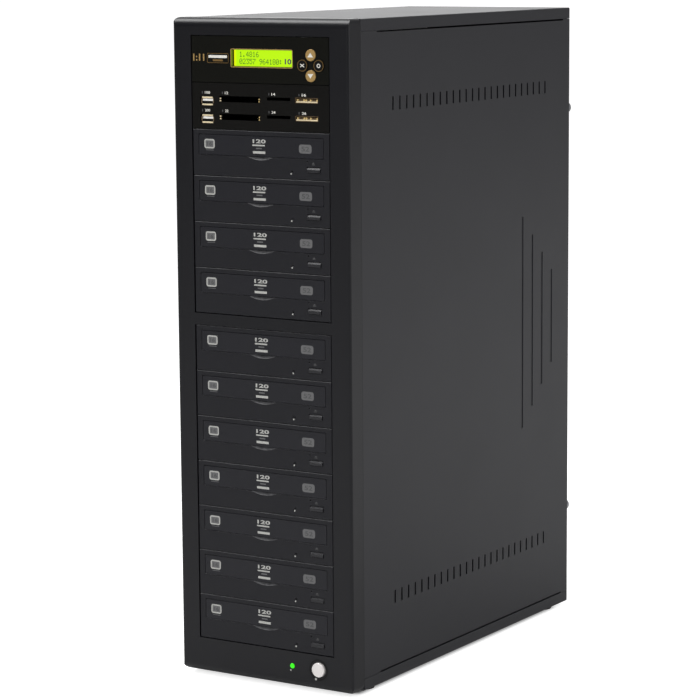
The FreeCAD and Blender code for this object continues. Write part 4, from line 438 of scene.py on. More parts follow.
class Wardrobe:
    """Makes each finish's material once and hands it out."""

    # Pale grey laid on faces that look up: fine dust, and painted highlight where much is laid.
    DUST_AND_SHEEN_COLOUR = (0.30, 0.30, 0.31, 1.0)

    def __init__(self) -> None:
        """Build the shared effects and an empty store."""
        self.effects = Effects()
        self.made: dict[str, bpy.types.Material] = {}

    def material(self, finish: Finish) -> bpy.types.Material:
        """Give the material of a finish.

        Args:
            finish: The finish.

        Returns:
            Its material, made on first use.
        """
        if finish.name not in self.made:
            self.made[finish.name] = self._make(finish)
        return self.made[finish.name]

    def _make(self, finish: Finish) -> bpy.types.Material:
        """Build a finish's nodes.

        Args:
            finish: The finish.

        Returns:
            The new material.
        """
        material = bpy.data.materials.new(finish.name)
        material.use_nodes = True
        material.diffuse_color = linear(finish.colour)
        material.node_tree.nodes.clear()
        graph = Graph(material.node_tree)
        grain = GRAINS[finish.surface]
        place = graph.add("ShaderNodeTexCoord").outputs["Object"]
        stretch = (1.0, 1.0, 1.0 / grain.stretch)
        stretched = graph.add("ShaderNodeMapping", {"Vector": place, "Scale": stretch})
        fine = graph.add(
            "ShaderNodeGroup",
            {
                "Position": stretched.outputs[0],
                "Per metre": 1.0 / (grain.fine * MM),
                "Pebble share": grain.pebble,
            },
            node_tree=self.effects.grain,
        )
        bump = graph.add(
            "ShaderNodeBump",
            {"Strength": 1.0, "Distance": grain.depth * MM, "Height": fine.outputs["Height"]},
        )
        uneven = graph.add(
            "ShaderNodeGroup",
            {
                "Position": place,
                "Per metre": 1.0 / (grain.broad * MM),
                "Colour": linear(finish.colour),
                "Colour shift": grain.colour_shift,
                "Roughness": finish.roughness,
                "Gloss shift": grain.gloss_shift,
            },
            node_tree=self.effects.unevenness,
        )
        colour = uneven.outputs["Colour"]
        if finish.dust_and_sheen:
            colour = self._lay_dust_and_sheen(graph, place, colour, finish.dust_and_sheen)
        inputs = {
            "Base Color": colour,
            "Metallic": finish.metallic,
            "Specular IOR Level": finish.specular,
            "Roughness": uneven.outputs["Roughness"],
            "Normal": bump.outputs["Normal"],
        }
        if finish.glow:
            light = {"Emission Color": colour, "Emission Strength": finish.glow}
            inputs |= {"Base Color": BLACK, **light}
        shader = graph.add("ShaderNodeBsdfPrincipled", inputs)
        graph.add("ShaderNodeOutputMaterial", {"Surface": shader.outputs[0]})
        return material

    def _lay_dust_and_sheen(
        self,
        graph: Graph,
        place: bpy.types.NodeSocket,
        colour: bpy.types.NodeSocket,
        amount: float,
    ) -> bpy.types.NodeSocket:
        """Lay fine dust and painted sheen over a colour.

        Args:
            graph: The material's graph.
            place: The output that tells where on the object a point is.
            colour: The colour under the dust and painted sheen.
            amount: How much dust and painted sheen there is.

        Returns:
            The colour with dust and painted sheen laid on it.
        """
        facing = graph.add("ShaderNodeNewGeometry").outputs["Normal"]
        inputs = {"Position": place, "Facing": facing, "Amount": amount}
        dust_and_sheen = graph.add("ShaderNodeGroup", inputs, node_tree=self.effects.dust_and_sheen)
        return graph.blend(dust_and_sheen.outputs["Mask"], colour, self.DUST_AND_SHEEN_COLOUR)

    def dress_nodes(self) -> None:
        """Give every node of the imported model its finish, by the record's slots."""
        parts = frame["record"]["subparts"]
        for part in parts:
            materials = frame["nodes"][part["node"]].data.materials
            materials.clear()
            materials.append(self.material(SLOT_FINISHES[part["material_slot"]]))
        LOG.info("dressed %d nodes", len(parts))


# ---------- Shapes ----------


class Rounded(Enum):
    """What of a part is rounded, by the name that a bevel gives it."""

    CORNERS = "VERTICES"
    EDGES = "EDGES"


class Shape:
    """A mesh that is being modelled, in millimetres.

    Flat shapes face the front, -Y. Each is placed by the middle of its back, and is closed.
    """

    CORNER_STEPS = 5
    EDGE_STEPS = 2
    ROUND_PROFILE = 0.5
    FIGURE_STEPS = 3
    MERGE_GAP = 1e-5
    EXTRUDE_HALF = 0.5
    SHARP_DEGREES = 35

    def __init__(self) -> None:
        """Start an empty mesh."""
        self.mesh = bmesh.new()

    def _take(self, part: bmesh.types.BMesh, at: Vector) -> None:
        """Put a finished part into the mesh.

        Args:
            part: The part, around the origin. It is used up.
            at: Where its origin goes.
        """
        bmesh.ops.translate(part, vec=at, verts=part.verts[:])
        bmesh.ops.recalc_face_normals(part, faces=part.faces[:])
        carrier = bpy.data.meshes.new("carrier")
        part.to_mesh(carrier)
        part.free()
        self.mesh.from_mesh(carrier)
        bpy.data.meshes.remove(carrier)

    @staticmethod
    def _face_front(part: bmesh.types.BMesh) -> None:
        """Turn a shape that faces up so that it faces the front."""
        turn = Matrix.Rotation(math.pi / 2, 3, "X")
        bmesh.ops.rotate(part, cent=(0, 0, 0), matrix=turn, verts=part.verts[:])

    @staticmethod
    def _thicken(part: bmesh.types.BMesh, thickness: float) -> None:
        """Draw every face of a part out towards the front.

        Args:
            part: Flat faces that face the front.
            thickness: How far they are drawn out.
        """
        drawn = bmesh.ops.extrude_face_region(part, geom=part.faces[:])
        moved = [item for item in drawn["geom"] if isinstance(item, bmesh.types.BMVert)]
        bmesh.ops.translate(part, vec=(0, -thickness, 0), verts=moved)

    @staticmethod
    def _round(part: bmesh.types.BMesh, what: Rounded, offset: float, steps: int) -> None:
        """Round a part.

        Args:
            part: The part.
            what: What of it is rounded.
            offset: How far that is rounded.
            steps: How many steps the rounding has.
        """
        bmesh.ops.bevel(
            part,
            geom=part.verts[:] if what is Rounded.CORNERS else part.edges[:],
            offset=offset,
            offset_type="OFFSET",
            segments=steps,
            profile=Shape.ROUND_PROFILE,
            affect=what.value,
            material=-1,
        )

    @classmethod
    def _rounded_quad(cls, size: Pair, corner: float) -> bmesh.types.BMesh:
        """Make a flat rounded rectangle that faces the front.

        Args:
            size: Its width and height.
            corner: The radius of its corners.

        Returns:
            The rectangle, around the origin.
        """
        part = bmesh.new()
        bmesh.ops.create_grid(part, x_segments=1, y_segments=1, size=0.5)
        bmesh.ops.scale(part, vec=(*size, 1), verts=part.verts[:])
        if corner > 0:
            cls._round(part, Rounded.CORNERS, corner, cls.CORNER_STEPS)
        cls._face_front(part)
        return part

    @staticmethod
    def _hollow(part: bmesh.types.BMesh, line: float) -> None:
        """Leave only a line along the edge of the one face of a part.

        Args:
            part: The part.
            line: The width of the line.
        """
        middle = part.faces[:]
        bmesh.ops.inset_region(
            part, faces=middle, thickness=line, use_boundary=True, use_even_offset=True
        )
        bmesh.ops.delete(part, geom=middle, context="FACES_ONLY")

    def plate(self, at: Vector, size: Pair, thickness: float, corner: float = 0.0) -> None:
        """Add a plate with rounded corners.

        Args:
            at: The middle of its back.
            size: Its width and height.
            thickness: Its thickness.
            corner: The radius of its corners.
        """
        part = self._rounded_quad(size, corner)
        self._thicken(part, thickness)
        self._take(part, at)

    def outline(
        self, at: Vector, size: Pair, thickness: float, corner: float, line: float
    ) -> None:
        """Add the outline of a rounded rectangle.

        Args:
            at: The middle of its back.
            size: Its width and height over all.
            thickness: Its thickness.
            corner: The radius of its outer corners.
            line: The width of its line.
        """
        part = self._rounded_quad(size, corner)
        self._hollow(part, line)
        self._thicken(part, thickness)
        self._take(part, at)

    def sleeve(self, at: Vector, size: Pair, depth: float, corner: float, wall: float) -> None:
        """Add a rounded tube, by the middle of its front, that runs back into the tower."""
        self.outline(at + Vector((0, depth, 0)), size, depth, corner, wall)

    def disc(
        self, at: Vector, radius: float, thickness: float, line: float = 0.0, sides: int = 32
    ) -> None:
        """Add a disc, or a ring.

        Args:
            at: The middle of its back.
            radius: Its radius.
            thickness: Its thickness.
            line: The width of its line if it is a ring, or 0 for a full disc.
            sides: How many sides it has.
        """
        part = bmesh.new()
        bmesh.ops.create_circle(part, cap_ends=True, radius=radius, segments=sides)
        self._face_front(part)
        if line > 0:
            self._hollow(part, line)
        self._thicken(part, thickness)
        self._take(part, at)

    def knurled(
        self, at: Vector, radius: float, groove: float, thickness: float, teeth: int
    ) -> None:
        """Add a disc with a knurled edge.

        Args:
            at: The middle of its back.
            radius: Its radius over its teeth.
            groove: The radius between its teeth.
            thickness: Its thickness.
            teeth: How many teeth it has.
        """
        part = bmesh.new()
        bmesh.ops.create_circle(part, radius=radius, segments=2 * teeth)
        for vert in part.verts[:][1::2]:
            vert.co *= groove / radius
        bmesh.ops.contextual_create(part, geom=part.edges[:])
        self._face_front(part)
        self._thicken(part, thickness)
        self._take(part, at)

    def flag(self, at: Vector, corners: list[Pair], thickness: float) -> None:
        """Add a flat shape with straight sides.

        Args:
            at: Where the origin of the corners is, at its back.
            corners: Across and up, in order.
            thickness: Its thickness.
        """
        part = bmesh.new()
        face = part.faces.new([part.verts.new((across, 0, up)) for across, up in corners])
        face.normal_update()
        if face.normal.y > 0:
            bmesh.ops.reverse_faces(part, faces=[face])
        self._thicken(part, thickness)
        self._take(part, at)

    def block(self, low: Vector, high: Vector, edge: float = 0.0) -> None:
        """Add a block.

        Args:
            low: Its lowest corner.
            high: Its highest corner.
            edge: How far its edges are rounded.
        """
        part = bmesh.new()
        bmesh.ops.create_cube(part, size=1.0)
        bmesh.ops.scale(part, vec=high - low, verts=part.verts[:])
        if edge > 0:
            self._round(part, Rounded.EDGES, edge, self.EDGE_STEPS)
        self._take(part, (low + high) / 2)

    def figures(
        self, text: str, at: Vector, size: Pair, thickness: float, weight: float
    ) -> None:
        """Add plain numbers.

        Args:
            text: The numbers.
            at: The middle of their back.
            size: The width and height of all the figures.
            thickness: Their thickness.
            weight: How far the strokes are fattened, as a share of the type's size.
        """
        curve = bpy.data.curves.new("figures", "FONT")
        curve.body = text
        curve.align_x = "CENTER"
        curve.align_y = "CENTER"
        curve.resolution_u = self.FIGURE_STEPS
        curve.extrude = self.EXTRUDE_HALF
        curve.offset = weight
        holder = bpy.data.objects.new("figures", curve)
        mesh = bpy.data.meshes.new_from_object(holder)
        part = bmesh.new()
        part.from_mesh(mesh)
        bpy.data.objects.remove(holder)
        bpy.data.curves.remove(curve)
        bpy.data.meshes.remove(mesh)
        bmesh.ops.remove_doubles(part, verts=part.verts[:], dist=self.MERGE_GAP)
        across = [vert.co.x for vert in part.verts]
        up = [vert.co.y for vert in part.verts]
        wide, tall = max(across) - min(across), max(up) - min(up)
        middle = Vector(((min(across) + max(across)) / 2, min(up) + tall / 2, -self.EXTRUDE_HALF))
        bmesh.ops.translate(part, vec=-middle, verts=part.verts[:])
        width, height = size
        bmesh.ops.scale(
            part, vec=(width / wide, height / tall, thickness), verts=part.verts[:]
        )
        self._face_front(part)
        self._take(part, at)

    def face_rear(self) -> None:
        """Mirror the whole mesh, so that what faced the front faces the rear."""
        bmesh.ops.scale(self.mesh, vec=(1, -1, 1), verts=self.mesh.verts[:])
        bmesh.ops.recalc_face_normals(self.mesh, faces=self.mesh.faces[:])

    def finish(
        self,
        name: str,
        finish: Finish,
        wardrobe: Wardrobe,
        body: str = BODY_TOWER,
        slot: str = "",
        smooth: bool = False,
    ) -> bpy.types.Object:
        """Turn the mesh into a piece of the tower.

        Args:
            name: The piece's name.
            finish: Its finish.
            wardrobe: Where its material comes from.
            body: The body that it rides on.
            slot: The record's material slot of its finish, if any. Not used.
            smooth: Whether it is shaded smooth up to sharp edges.

        Returns:
            The piece.
        """
        bmesh.ops.scale(self.mesh, vec=(MM, MM, MM), verts=self.mesh.verts[:])
        data = bpy.data.meshes.new(name)
        self.mesh.to_mesh(data)
        self.mesh.free()
        if smooth:
            data.shade_smooth()
            data.set_sharp_from_angle(angle=math.radians(self.SHARP_DEGREES))
        data.materials.append(wardrobe.material(finish))
        piece = bpy.data.objects.new(name, data)
        bpy.context.scene.collection.objects.link(piece)
        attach(piece, body)
        LOG.info("made %s: %d faces, rides on %s", name, len(data.polygons), body)
        return piece


# ---------- The control panel ----------


class Mark(Enum):
    """The sign on one key."""

    UP = "up"
    DOWN = "down"
    CROSS = "cross"
    RING = "ring"


DOT_FIGURES: dict[str, tuple[str, ...]] = {
    "0": ("01110", "10001", "10011", "10101", "11001", "10001", "01110"),
    "1": ("00100", "01100", "00100", "00100", "00100", "00100", "01110"),
    "2": ("01110", "10001", "00001", "00010", "00100", "01000", "11111"),
    "3": ("11111", "00010", "00100", "00010", "00001", "10001", "01110"),
    "4": ("00010", "00110", "01010", "10010", "11111", "00010", "00010"),
    "5": ("11111", "10000", "11110", "00001", "00001", "10001", "01110"),
    "6": ("00110", "01000", "10000", "11110", "10001", "10001", "01110"),
    "7": ("11111", "00001", "00010", "00100", "01000", "01000", "01000"),
    "8": ("01110", "10001", "10001", "01110", "10001", "10001", "01110"),
    "9": ("01110", "10001", "10001", "01111", "00001", "00010", "01100"),
    ".": ("00000", "00000", "00000", "00000", "00000", "01100", "01100"),
    ":": ("00000", "01100", "01100", "00000", "01100", "01100", "00000"),
}


@dataclass
class ControlPanel:
    """The panel with the lit display, the bare plate and the four keys."""

    wardrobe: Wardrobe
    window_left: float = -30.6
    window_right: float = 35.4
    window_low: float = 574.05
    window_high: float = 589.65
    window_line: float = 0.6
    window_corner: float = 1.6
    glass_depth: float = 4.4
    lining_gap: float = 0.01
    liner_depth: float = 2.2
    liner_wall: float = 0.15
    rim_wall: float = 0.4
    line_proud: float = 0.12
    picture_proud: float = 0.1
    ink_proud: float = 0.05
    warm_width: float = 4.0
    warm_share: float = 0.85
    warm_colour: Colour = (250, 250, 20)
    rows: tuple[tuple[str, float], ...] = (("1.4816", 2.1), ("02357 964180:", 8.5))
    first_figure: float = 6.2
    figure_step: float = 3.6
    dot: Pair = (0.62, 0.69)
    dark_middle: Pair = (28.2, 579.2)
    dark_size: Pair = (7.0, 4.9)
    count_middle: Pair = (-66.4, 581.8)
    count_size: Pair = (12.4, 6.4)
    figure_weight: float = 0.03
    plate_middle: Pair = (-45.3, 581.4)
    plate_size: Pair = (23.6, 8.8)
    plate_corner: float = 1.3
    plate_line: float = 0.4
    gold_bar: Triple = (-2.0, 11.0, 1.7)
    white_bar: Triple = (1.4, 20.4, 2.5)
    bar_corner: float = 0.5
    arrow: Triple = (3.1, 1.9, 2.2)
    cross_reach: Pair = (2.06, 1.38)
    cross_half: Pair = (0.24, 0.32)
    cross_layer: float = 0.01
    ring_radius: float = 1.9
    ring_line: float = 0.75
    rim_radius: float = 5.2
    rim_line: float = 0.5
    rim_sides: int = 48
    key_marks: dict[str, Mark] = field(
        default_factory=lambda: {
            "key_up": Mark.UP,
            "key_down": Mark.DOWN,
            "key_back": Mark.CROSS,
            "key_enter": Mark.RING,
        }
    )

    def __post_init__(self) -> None:
        """Read where the panel's face and the display's glass are."""
        self.face = node_box("controller_panel")[0].y
        self.glass = self.face + self.glass_depth

    def build(self) -> None:
        """Make every piece of the panel."""
        self._window_edge()
        self._picture()
        self._rows()
        self._bare_plate()
        self._count()
        for key, mark in self.key_marks.items():
            self._key(key, mark)

    def _middle(self, depth: float) -> Vector:
        """Give the middle of the display's window at a depth."""
        across = (self.window_left + self.window_right) / 2
        return spot((across, (self.window_low + self.window_high) / 2), depth)

    def _size(self, margin: float) -> Pair:
        """Give the size of the display's window, with a margin on every side."""
        wide, tall = self.window_right - self.window_left, self.window_high - self.window_low
        return wide + 2 * margin, tall + 2 * margin

    def _window_edge(self) -> None:
        """Make the gold line round the window, and the lining, whose glow is painted light from
        the display falling on it.
        """
        corner, front = self.window_corner, self.liner_depth
        line = Shape()
        size = self._size(self.window_line)
        line.outline(self._middle(self.face), size, self.line_proud, corner, self.window_line)
        line.finish("display_line", GOLD, self.wardrobe, slot="key_gold")
        back = self.glass_depth - front - self.picture_proud
        for name, finish, start, depth, wall in (
            # The liner's glow is painted light from the display.
            ("display_liner", PAINTED_LIGHT_LINER, 0.0, front, self.liner_wall),
            ("display_rim", MODULE, front, back, self.rim_wall),
        ):
            lining = Shape()
            at = self._middle(self.face + start)
            size = self._size(-self.lining_gap)
            lining.sleeve(at, size, depth, corner - self.window_line, wall)
            lining.finish(name, finish, self.wardrobe, slot="display_lit")

    def _picture(self) -> None:
        """Make the lit picture that lies on the display's glass."""
        shape = Shape()
        proud = self.picture_proud
        shape.plate(self._middle(self.glass), self._size(-proud), proud)
        piece = shape.finish("display_picture", PICTURE, self.wardrobe, slot="display_lit")
        self._warm_left_edge(piece.data.materials[0].node_tree)

    def _warm_left_edge(self, tree: bpy.types.NodeTree) -> None:
        """Let the picture turn yellower towards its left edge, where its lamp is.

        Args:
            tree: The nodes of the picture's material.
        """
        graph = Graph(tree)
        found = {node.type: node for node in tree.nodes}
        glow = found["BSDF_PRINCIPLED"].inputs["Emission Color"]
        across = graph.axes(found["TEX_COORD"].outputs["Object"])["X"]
        edge = self.window_left * MM, (self.window_left + self.warm_width) * MM
        share = graph.ramp(across, edge, (self.warm_share, 0.0))
        colour = glow.links[0].from_socket
        graph.join(graph.blend(share, colour, linear(self.warm_colour)), glow)

    def _rows(self) -> None:
        """Make the two rows of dotted numbers, and the dark number at their end."""
        plain = Shape()
        first = self.window_left + self.first_figure
        for text, drop in self.rows:
            for place, figure in enumerate(text):
                left = first + place * self.figure_step
                self._dotted(plain, figure, left, self.window_high - drop)
        plain.finish("display_numbers", DISPLAY_INK, self.wardrobe)
        dark = Shape()
        at = spot(self.dark_middle, self.glass - self.picture_proud)
        dark.figures("10", at, self.dark_size, self.ink_proud, self.figure_weight)
        dark.finish("display_count", DISPLAY_DARK, self.wardrobe)

    def _dotted(self, shape: Shape, figure: str, left: float, top: float) -> None:
        """Add a figure made of small dots.

        Args:
            shape: Where it goes.
            figure: The figure.
            left: Where its left side is.
            top: Where its top is.
        """
        across, up = self.dot
        depth = self.glass - self.picture_proud
        for row, line in enumerate(DOT_FIGURES.get(figure, ())):
            for column, dot in enumerate(line):
                if dot == "1":
                    place = (left + (column + 0.5) * across, top - (row + 0.5) * up)
                    shape.plate(spot(place, depth), self.dot, self.ink_proud)

    def _bare_plate(self) -> None:
        """Make the plate left of the display: a gold outline with a white and a gold bar."""
        middle = spot(self.plate_middle, self.face)
        proud = self.line_proud
        gold, white = Shape(), Shape()
        gold.outline(middle, self.plate_size, proud, self.plate_corner, self.plate_line)
        for shape, (rise, width, height) in ((gold, self.gold_bar), (white, self.white_bar)):
            shape.plate(middle + spot((0, rise), 0), (width, height), proud, self.bar_corner)
        gold.finish("plate_gold", GOLD_DIM, self.wardrobe, slot="key_gold")
        white.finish("plate_bar", PRINT_WHITE, self.wardrobe)

    def _count(self) -> None:
        """Make the plain gold numbers at the panel's left end."""
        shape = Shape()
        at = spot(self.count_middle, self.face)
        shape.figures("1:11", at, self.count_size, self.line_proud, self.figure_weight)
        shape.finish("panel_numbers", GOLD, self.wardrobe, slot="key_gold")

    def _key(self, key: str, mark: Mark) -> None:
        """Make the sign on one key.

        Args:
            key: The key's node, which is its body too.
            mark: Its sign.
        """
        low, high = node_box(key)
        middle = spot(((low.x + high.x) / 2, (low.z + high.z) / 2), low.y)
        shape = Shape()
        if mark in (Mark.UP, Mark.DOWN):
            side = 1 if mark is Mark.UP else -1
            half, foot, tip = self.arrow
            corners = [(-half, -foot * side), (half, -foot * side), (0.0, tip * side)]
            shape.flag(middle, corners, self.ink_proud)
        elif mark is Mark.CROSS:
            reach, rise = self.cross_reach
            across, up = self.cross_half
            for layer, slope in enumerate((1, -1)):
                corners = [
                    (-reach + across, (-rise - up) * slope),
                    (reach + across, (rise - up) * slope),
                    (reach - across, (rise + up) * slope),
                    (-reach - across, (up - rise) * slope),
                ]
                shape.flag(middle, corners, self.ink_proud + self.cross_layer * layer)
        else:
            shape.disc(middle, self.ring_radius, self.ink_proud, self.ring_line)
        shape.finish(f"{key}_mark", PRINT_WHITE, self.wardrobe, body=key)
        if mark in (Mark.CROSS, Mark.RING):
            rim = Shape()
            rim.disc(
                middle, self.rim_radius, self.ink_proud, self.rim_line, self.rim_sides
            )
            rim.finish(f"{key}_rim", GOLD_DIM, self.wardrobe, body=key, slot="key_gold")


# ---------- The card reader ----------


@dataclass(frozen=True)
class CardFrame:
    """The black frame of one card socket.

    Attributes:
        left: Its left side.
        right: Its right side.
        cheek: The thickness of its sides.
        depth: How far back it runs.
        wall: The thickness of its rear wall.
        levels: How high its mouth's foot, its mouth's top and its own top are over its board.
    """

    left: float
    right: float
    cheek: float
    depth: float
    wall: float
    levels: Triple


LARGE_FRAME = CardFrame(-46.1, 1.7, 1.9, 37.0, 7.0, (1.6, 8.1, 9.1))
FLAT_FRAME = CardFrame(6.0, 34.6, 1.4, 29.0, 3.0, (5.4, 8.2, 9.0))
SLIM_FRAME = CardFrame(36.8, 64.0, 1.2, 31.0, 3.0, (4.4, 8.2, 9.2))


@dataclass(frozen=True)
class Block:
    """A block.

    Attributes:
        low: Its lowest corner.
        high: Its highest corner.
        edge: How far its edges are rounded.
    """

    low: Triple
    high: Triple
    edge: float = 0.0

    def add_to(self, shape: Shape, about: Vector) -> None:
        """Add the block to a shape, with its corners counted from a point."""
        shape.block(about + Vector(self.low), about + Vector(self.high), self.edge)


@dataclass
class SocketShapes:
    """The shapes that all the sockets are gathered in, one for each finish."""

    housings: Shape = field(default_factory=Shape)
    shells: Shape = field(default_factory=Shape)
    glinting_lips: Shape = field(default_factory=Shape)
    edges: Shape = field(default_factory=Shape)
    tongues: Shape = field(default_factory=Shape)
    contacts_and_glints: Shape = field(default_factory=Shape)


@dataclass
class SocketRow:
    """One row of four sockets.

    Attributes:
        into: Where its parts go.
        face: How deep the panel's face lies.
        board: The height of the board that the sockets stand on.
    """

    into: SocketShapes
    face: float
    board: float
    setback: float = 3.0
    usb_middle: float = -57.3
    usb_size: Triple = (13.2, 18.0, 6.8)
    usb_corner: float = 1.9
    usb_wall: float = 0.5
    usb_rear: float = 1.2
    tongue: Block = Block((-5.6, 0.5, 0.0), (5.6, 17.0, 2.0), 0.2)
    under_tongue: Block = Block((-5.9, 0.9, -2.85), (5.9, 16.7, -0.3), 0.1)
    contact: Block = Block((-4.2, 1.6, -0.2), (-2.85, 12.0, -0.05))
    contact_count: int = 4
    contact_step: float = 2.35
    lip_size: Pair = (11.8, 1.4)
    lip_rise: float = 3.2
    lip_thickness: float = 0.2
    lip_corner: float = 0.5
    usb_edge: Outline = ((14.0, 7.8), 0.1, 3.2, 0.5)
    guide: Block = Block((0.0, 0.4, 0.0), (1.3, 1.8, 1.3), 0.15)
    guide_places: Pair = (-44.2, -1.5)
    guide_rises: Pair = (3.2, 5.4)
    slim_middle: Pair = (50.4, 6.3)
    slim_edge: Outline = ((24.2, 4.8), 0.08, 0.6, 0.45)
    slim_strip: Block = Block((38.9, 0.3, 4.2), (61.9, 1.1, 5.6), 0.2)
    finger: Block = Block((39.6, 0.6, 5.7), (41.2, 11.0, 7.4), 0.12)
    finger_count: int = 10
    finger_step: float = 2.3
    # Fingers that take the bright gold as painted glints.
    glinting_fingers: tuple[int, ...] = (0, 3, 4, 6, 9)

    def build(self) -> None:
        """Add the four sockets."""
        middle = spot((self.usb_middle, self.board + self.usb_size[2] / 2), self.face)
        self._usb(middle)
        self._usb_glinting_lips(middle)
        self._frame(LARGE_FRAME)
        self._guides()
        self._frame(FLAT_FRAME)
        self._slim_edge()
        self._frame(SLIM_FRAME)
        self._fingers()

    def _usb(self, middle: Vector) -> None:
        """Add the plug socket's shell, its white rear and tongue, and its contacts.

        Args:
            middle: The middle of its mouth.
        """
        width, depth, height = self.usb_size
        self.into.shells.sleeve(
            middle, (width, height), depth, self.usb_corner, self.usb_wall
        )
        across, up = width / 2 - self.usb_wall, height / 2 - self.usb_wall
        rear = Block((-across, depth - self.usb_rear, -up), (across, depth, up))
        rear.add_to(self.into.tongues, middle)
        self.tongue.add_to(self.into.tongues, middle)
        self.under_tongue.add_to(self.into.housings, middle)
        for place in range(self.contact_count):
            about = middle + Vector((place * self.contact_step, 0, 0))
            self.contact.add_to(self.into.contacts_and_glints, about)

    def _usb_glinting_lips(self, middle: Vector) -> None:
        """Add the shell's lips, whose pale finish paints their highlight, and the dim edge that
        the plug socket shows at the panel.

        Args:
            middle: The middle of its mouth.
        """
        for side in (1, -1):
            rise = spot((0, side * self.lip_rise), 0)
            self.into.glinting_lips.plate(
                middle + rise, self.lip_size, self.lip_thickness, self.lip_corner
            )
        self.into.edges.outline(middle, *self.usb_edge)

    def _frame(self, card: CardFrame) -> None:
        """Add a card socket's black frame, which is open at its front.

        Args:
            card: The frame's sizes.
        """
        foot, top, lid = (self.board + level for level in card.levels)
        front = self.face + self.setback
        back = front + card.depth
        inner_left, inner_right = card.left + card.cheek, card.right - card.cheek
        for low, high in (
            ((card.left, front, self.board), (card.right, back, foot)),
            ((card.left, front, top), (card.right, back, lid)),
            ((card.left, front, foot), (inner_left, back, top)),
            ((inner_right, front, foot), (card.right, back, top)),
            ((inner_left, back - card.wall, foot), (inner_right, back, top)),
        ):
            self.into.housings.block(Vector(low), Vector(high))

    def _guides(self) -> None:
        """Add the gold guides at the ends of the large card's mouth."""
        # The left guides take the pale finish of painted highlight, and the right ones the bright
        # contact gold.
        for shape, left in zip((self.into.glinting_lips, self.into.contacts_and_glints), self.guide_places):
            for rise in self.guide_rises:
                self.guide.add_to(shape, spot((left, self.board + rise), self.face))

    def _slim_edge(self) -> None:
        """Add the dim line round the slim card's mouth, and the bright strip at its foot, whose
        pale finish is painted highlight.
        """
        about = spot((0, self.board), self.face)
        mouth = about + spot(self.slim_middle, 0)
        self.into.edges.outline(mouth, *self.slim_edge)
        self.slim_strip.add_to(self.into.glinting_lips, about)

    def _fingers(self) -> None:
        """Add the gold fingers in the slim card's mouth: some in the bright contact gold as
        painted glints, the rest in the dim edge gold as painted shade.
        """
        for place in range(self.finger_count):
            glinting = place in self.glinting_fingers
            shape = self.into.contacts_and_glints if glinting else self.into.edges
            self.finger.add_to(
                shape, spot((place * self.finger_step, self.board), self.face)
            )


@dataclass
class CardReader:
    """The panel with two rows of four sockets.

    Attributes:
        wardrobe: Where the materials come from.
        boards: The heights of the boards that the rows stand on.
        columns: For each socket, where its lamp and its number are, how wide the number is,
            and the number itself in each row.
    """

    wardrobe: Wardrobe
    boards: Pair = (538.95, 522.75)
    columns: tuple[tuple[float, float, float, tuple[str, str]], ...] = (
        (-62.9, -57.3, 5.7, ("100", "200")),
        (-40.7, -36.2, 3.6, ("12", "22")),
        (10.0, 14.8, 4.1, ("14", "24")),
        (42.4, 47.6, 4.6, ("16", "26")),
    )
    print_proud: float = 0.1
    lamp_size: Pair = (0.9, 2.2)
    lamp_corner: float = 0.3
    number_rise: float = 11.1
    number_height: float = 2.4
    number_weight: float = 0.02

    def build(self) -> None:
        """Make the sockets, their lamps and their numbers."""
        face = node_box("card_reader_panel")[0].y
        into, metal = SocketShapes(), "socket_metal"
        for board in self.boards:
            SocketRow(into, face, board).build()
        housing = into.housings.finish("card_housings", SOCKET_BLACK_AND_SHADE, self.wardrobe, slot=metal)
        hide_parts("card_sockets")
        into.shells.finish("usb_shells", NICKEL, self.wardrobe, slot=metal, smooth=True)
        into.glinting_lips.finish("usb_glinting_lips", GLINTING_LIP, self.wardrobe, slot=metal)
        into.edges.finish("socket_edges_and_shade", EDGE_GOLD_AND_SHADE, self.wardrobe, slot=metal)
        into.tongues.finish("usb_tongues", TONGUE, self.wardrobe)
        into.contacts_and_glints.finish("card_contacts_and_glints", CONTACT_AND_GLINT, self.wardrobe, slot=metal)
        lamps, numbers = Shape(), Shape()
        proud = self.print_proud
        for row, board in enumerate(self.boards):
            rise = board + self.number_rise
            for lamp, place, width, texts in self.columns:
                lamps.plate(spot((lamp, rise), face), self.lamp_size, proud, self.lamp_corner)
                at, size = spot((place, rise), face), (width, self.number_height)
                numbers.figures(texts[row], at, size, proud, self.number_weight)
        lamps.finish("reader_lamps", PRINT_FAINT, self.wardrobe)
        numbers.finish("reader_numbers", PRINT_WHITE, self.wardrobe)


# ---------- The drives ----------


@dataclass(frozen=True)
class Print:
    """A bar or a plain number that is printed on a tray's door.

    Attributes:
        place: Its middle: across from the drive's middle, and down from the drive's top.
        size: Its width and height.
        corner: The radius of its corners, if it is a bar.
        text: The number, or nothing for a bar.
        weight: How far the number's strokes are fattened.
        layer: Its thickness, as a share of the print's.
    """

    place: Pair
    size: Pair
    corner: float = 0.0
    text: str = ""
    weight: float = 0.02
    layer: float = 1.0


LIGHT_PRINTS = (
    Print((-1.1, 9.1), (14.2, 3.6), text="120", weight=0.03),
    Print((-1.8, 12.8), (13.6, 1.3), 0.5),
    Print((-1.3, 19.2), (13.4, 2.2), 0.3),
)
SOFT_PRINTS = (
    Print((-55.8, 13.0), (8.6, 5.8), 0.8, layer=0.5),
    Print((-1.4, 15.6), (6.4, 1.1), 0.3),
    Print((48.5, 14.4), (13.4, 8.0), 2.2),
    Print((-55.4, 18.7), (8.4, 0.5), 0.1),
)
FAINT_PRINTS = (
    Print((-55.8, 13.0), (5.6, 3.6), text="16"),
    Print((48.5, 14.4), (8.6, 4.4), text="52", layer=1.5),
)


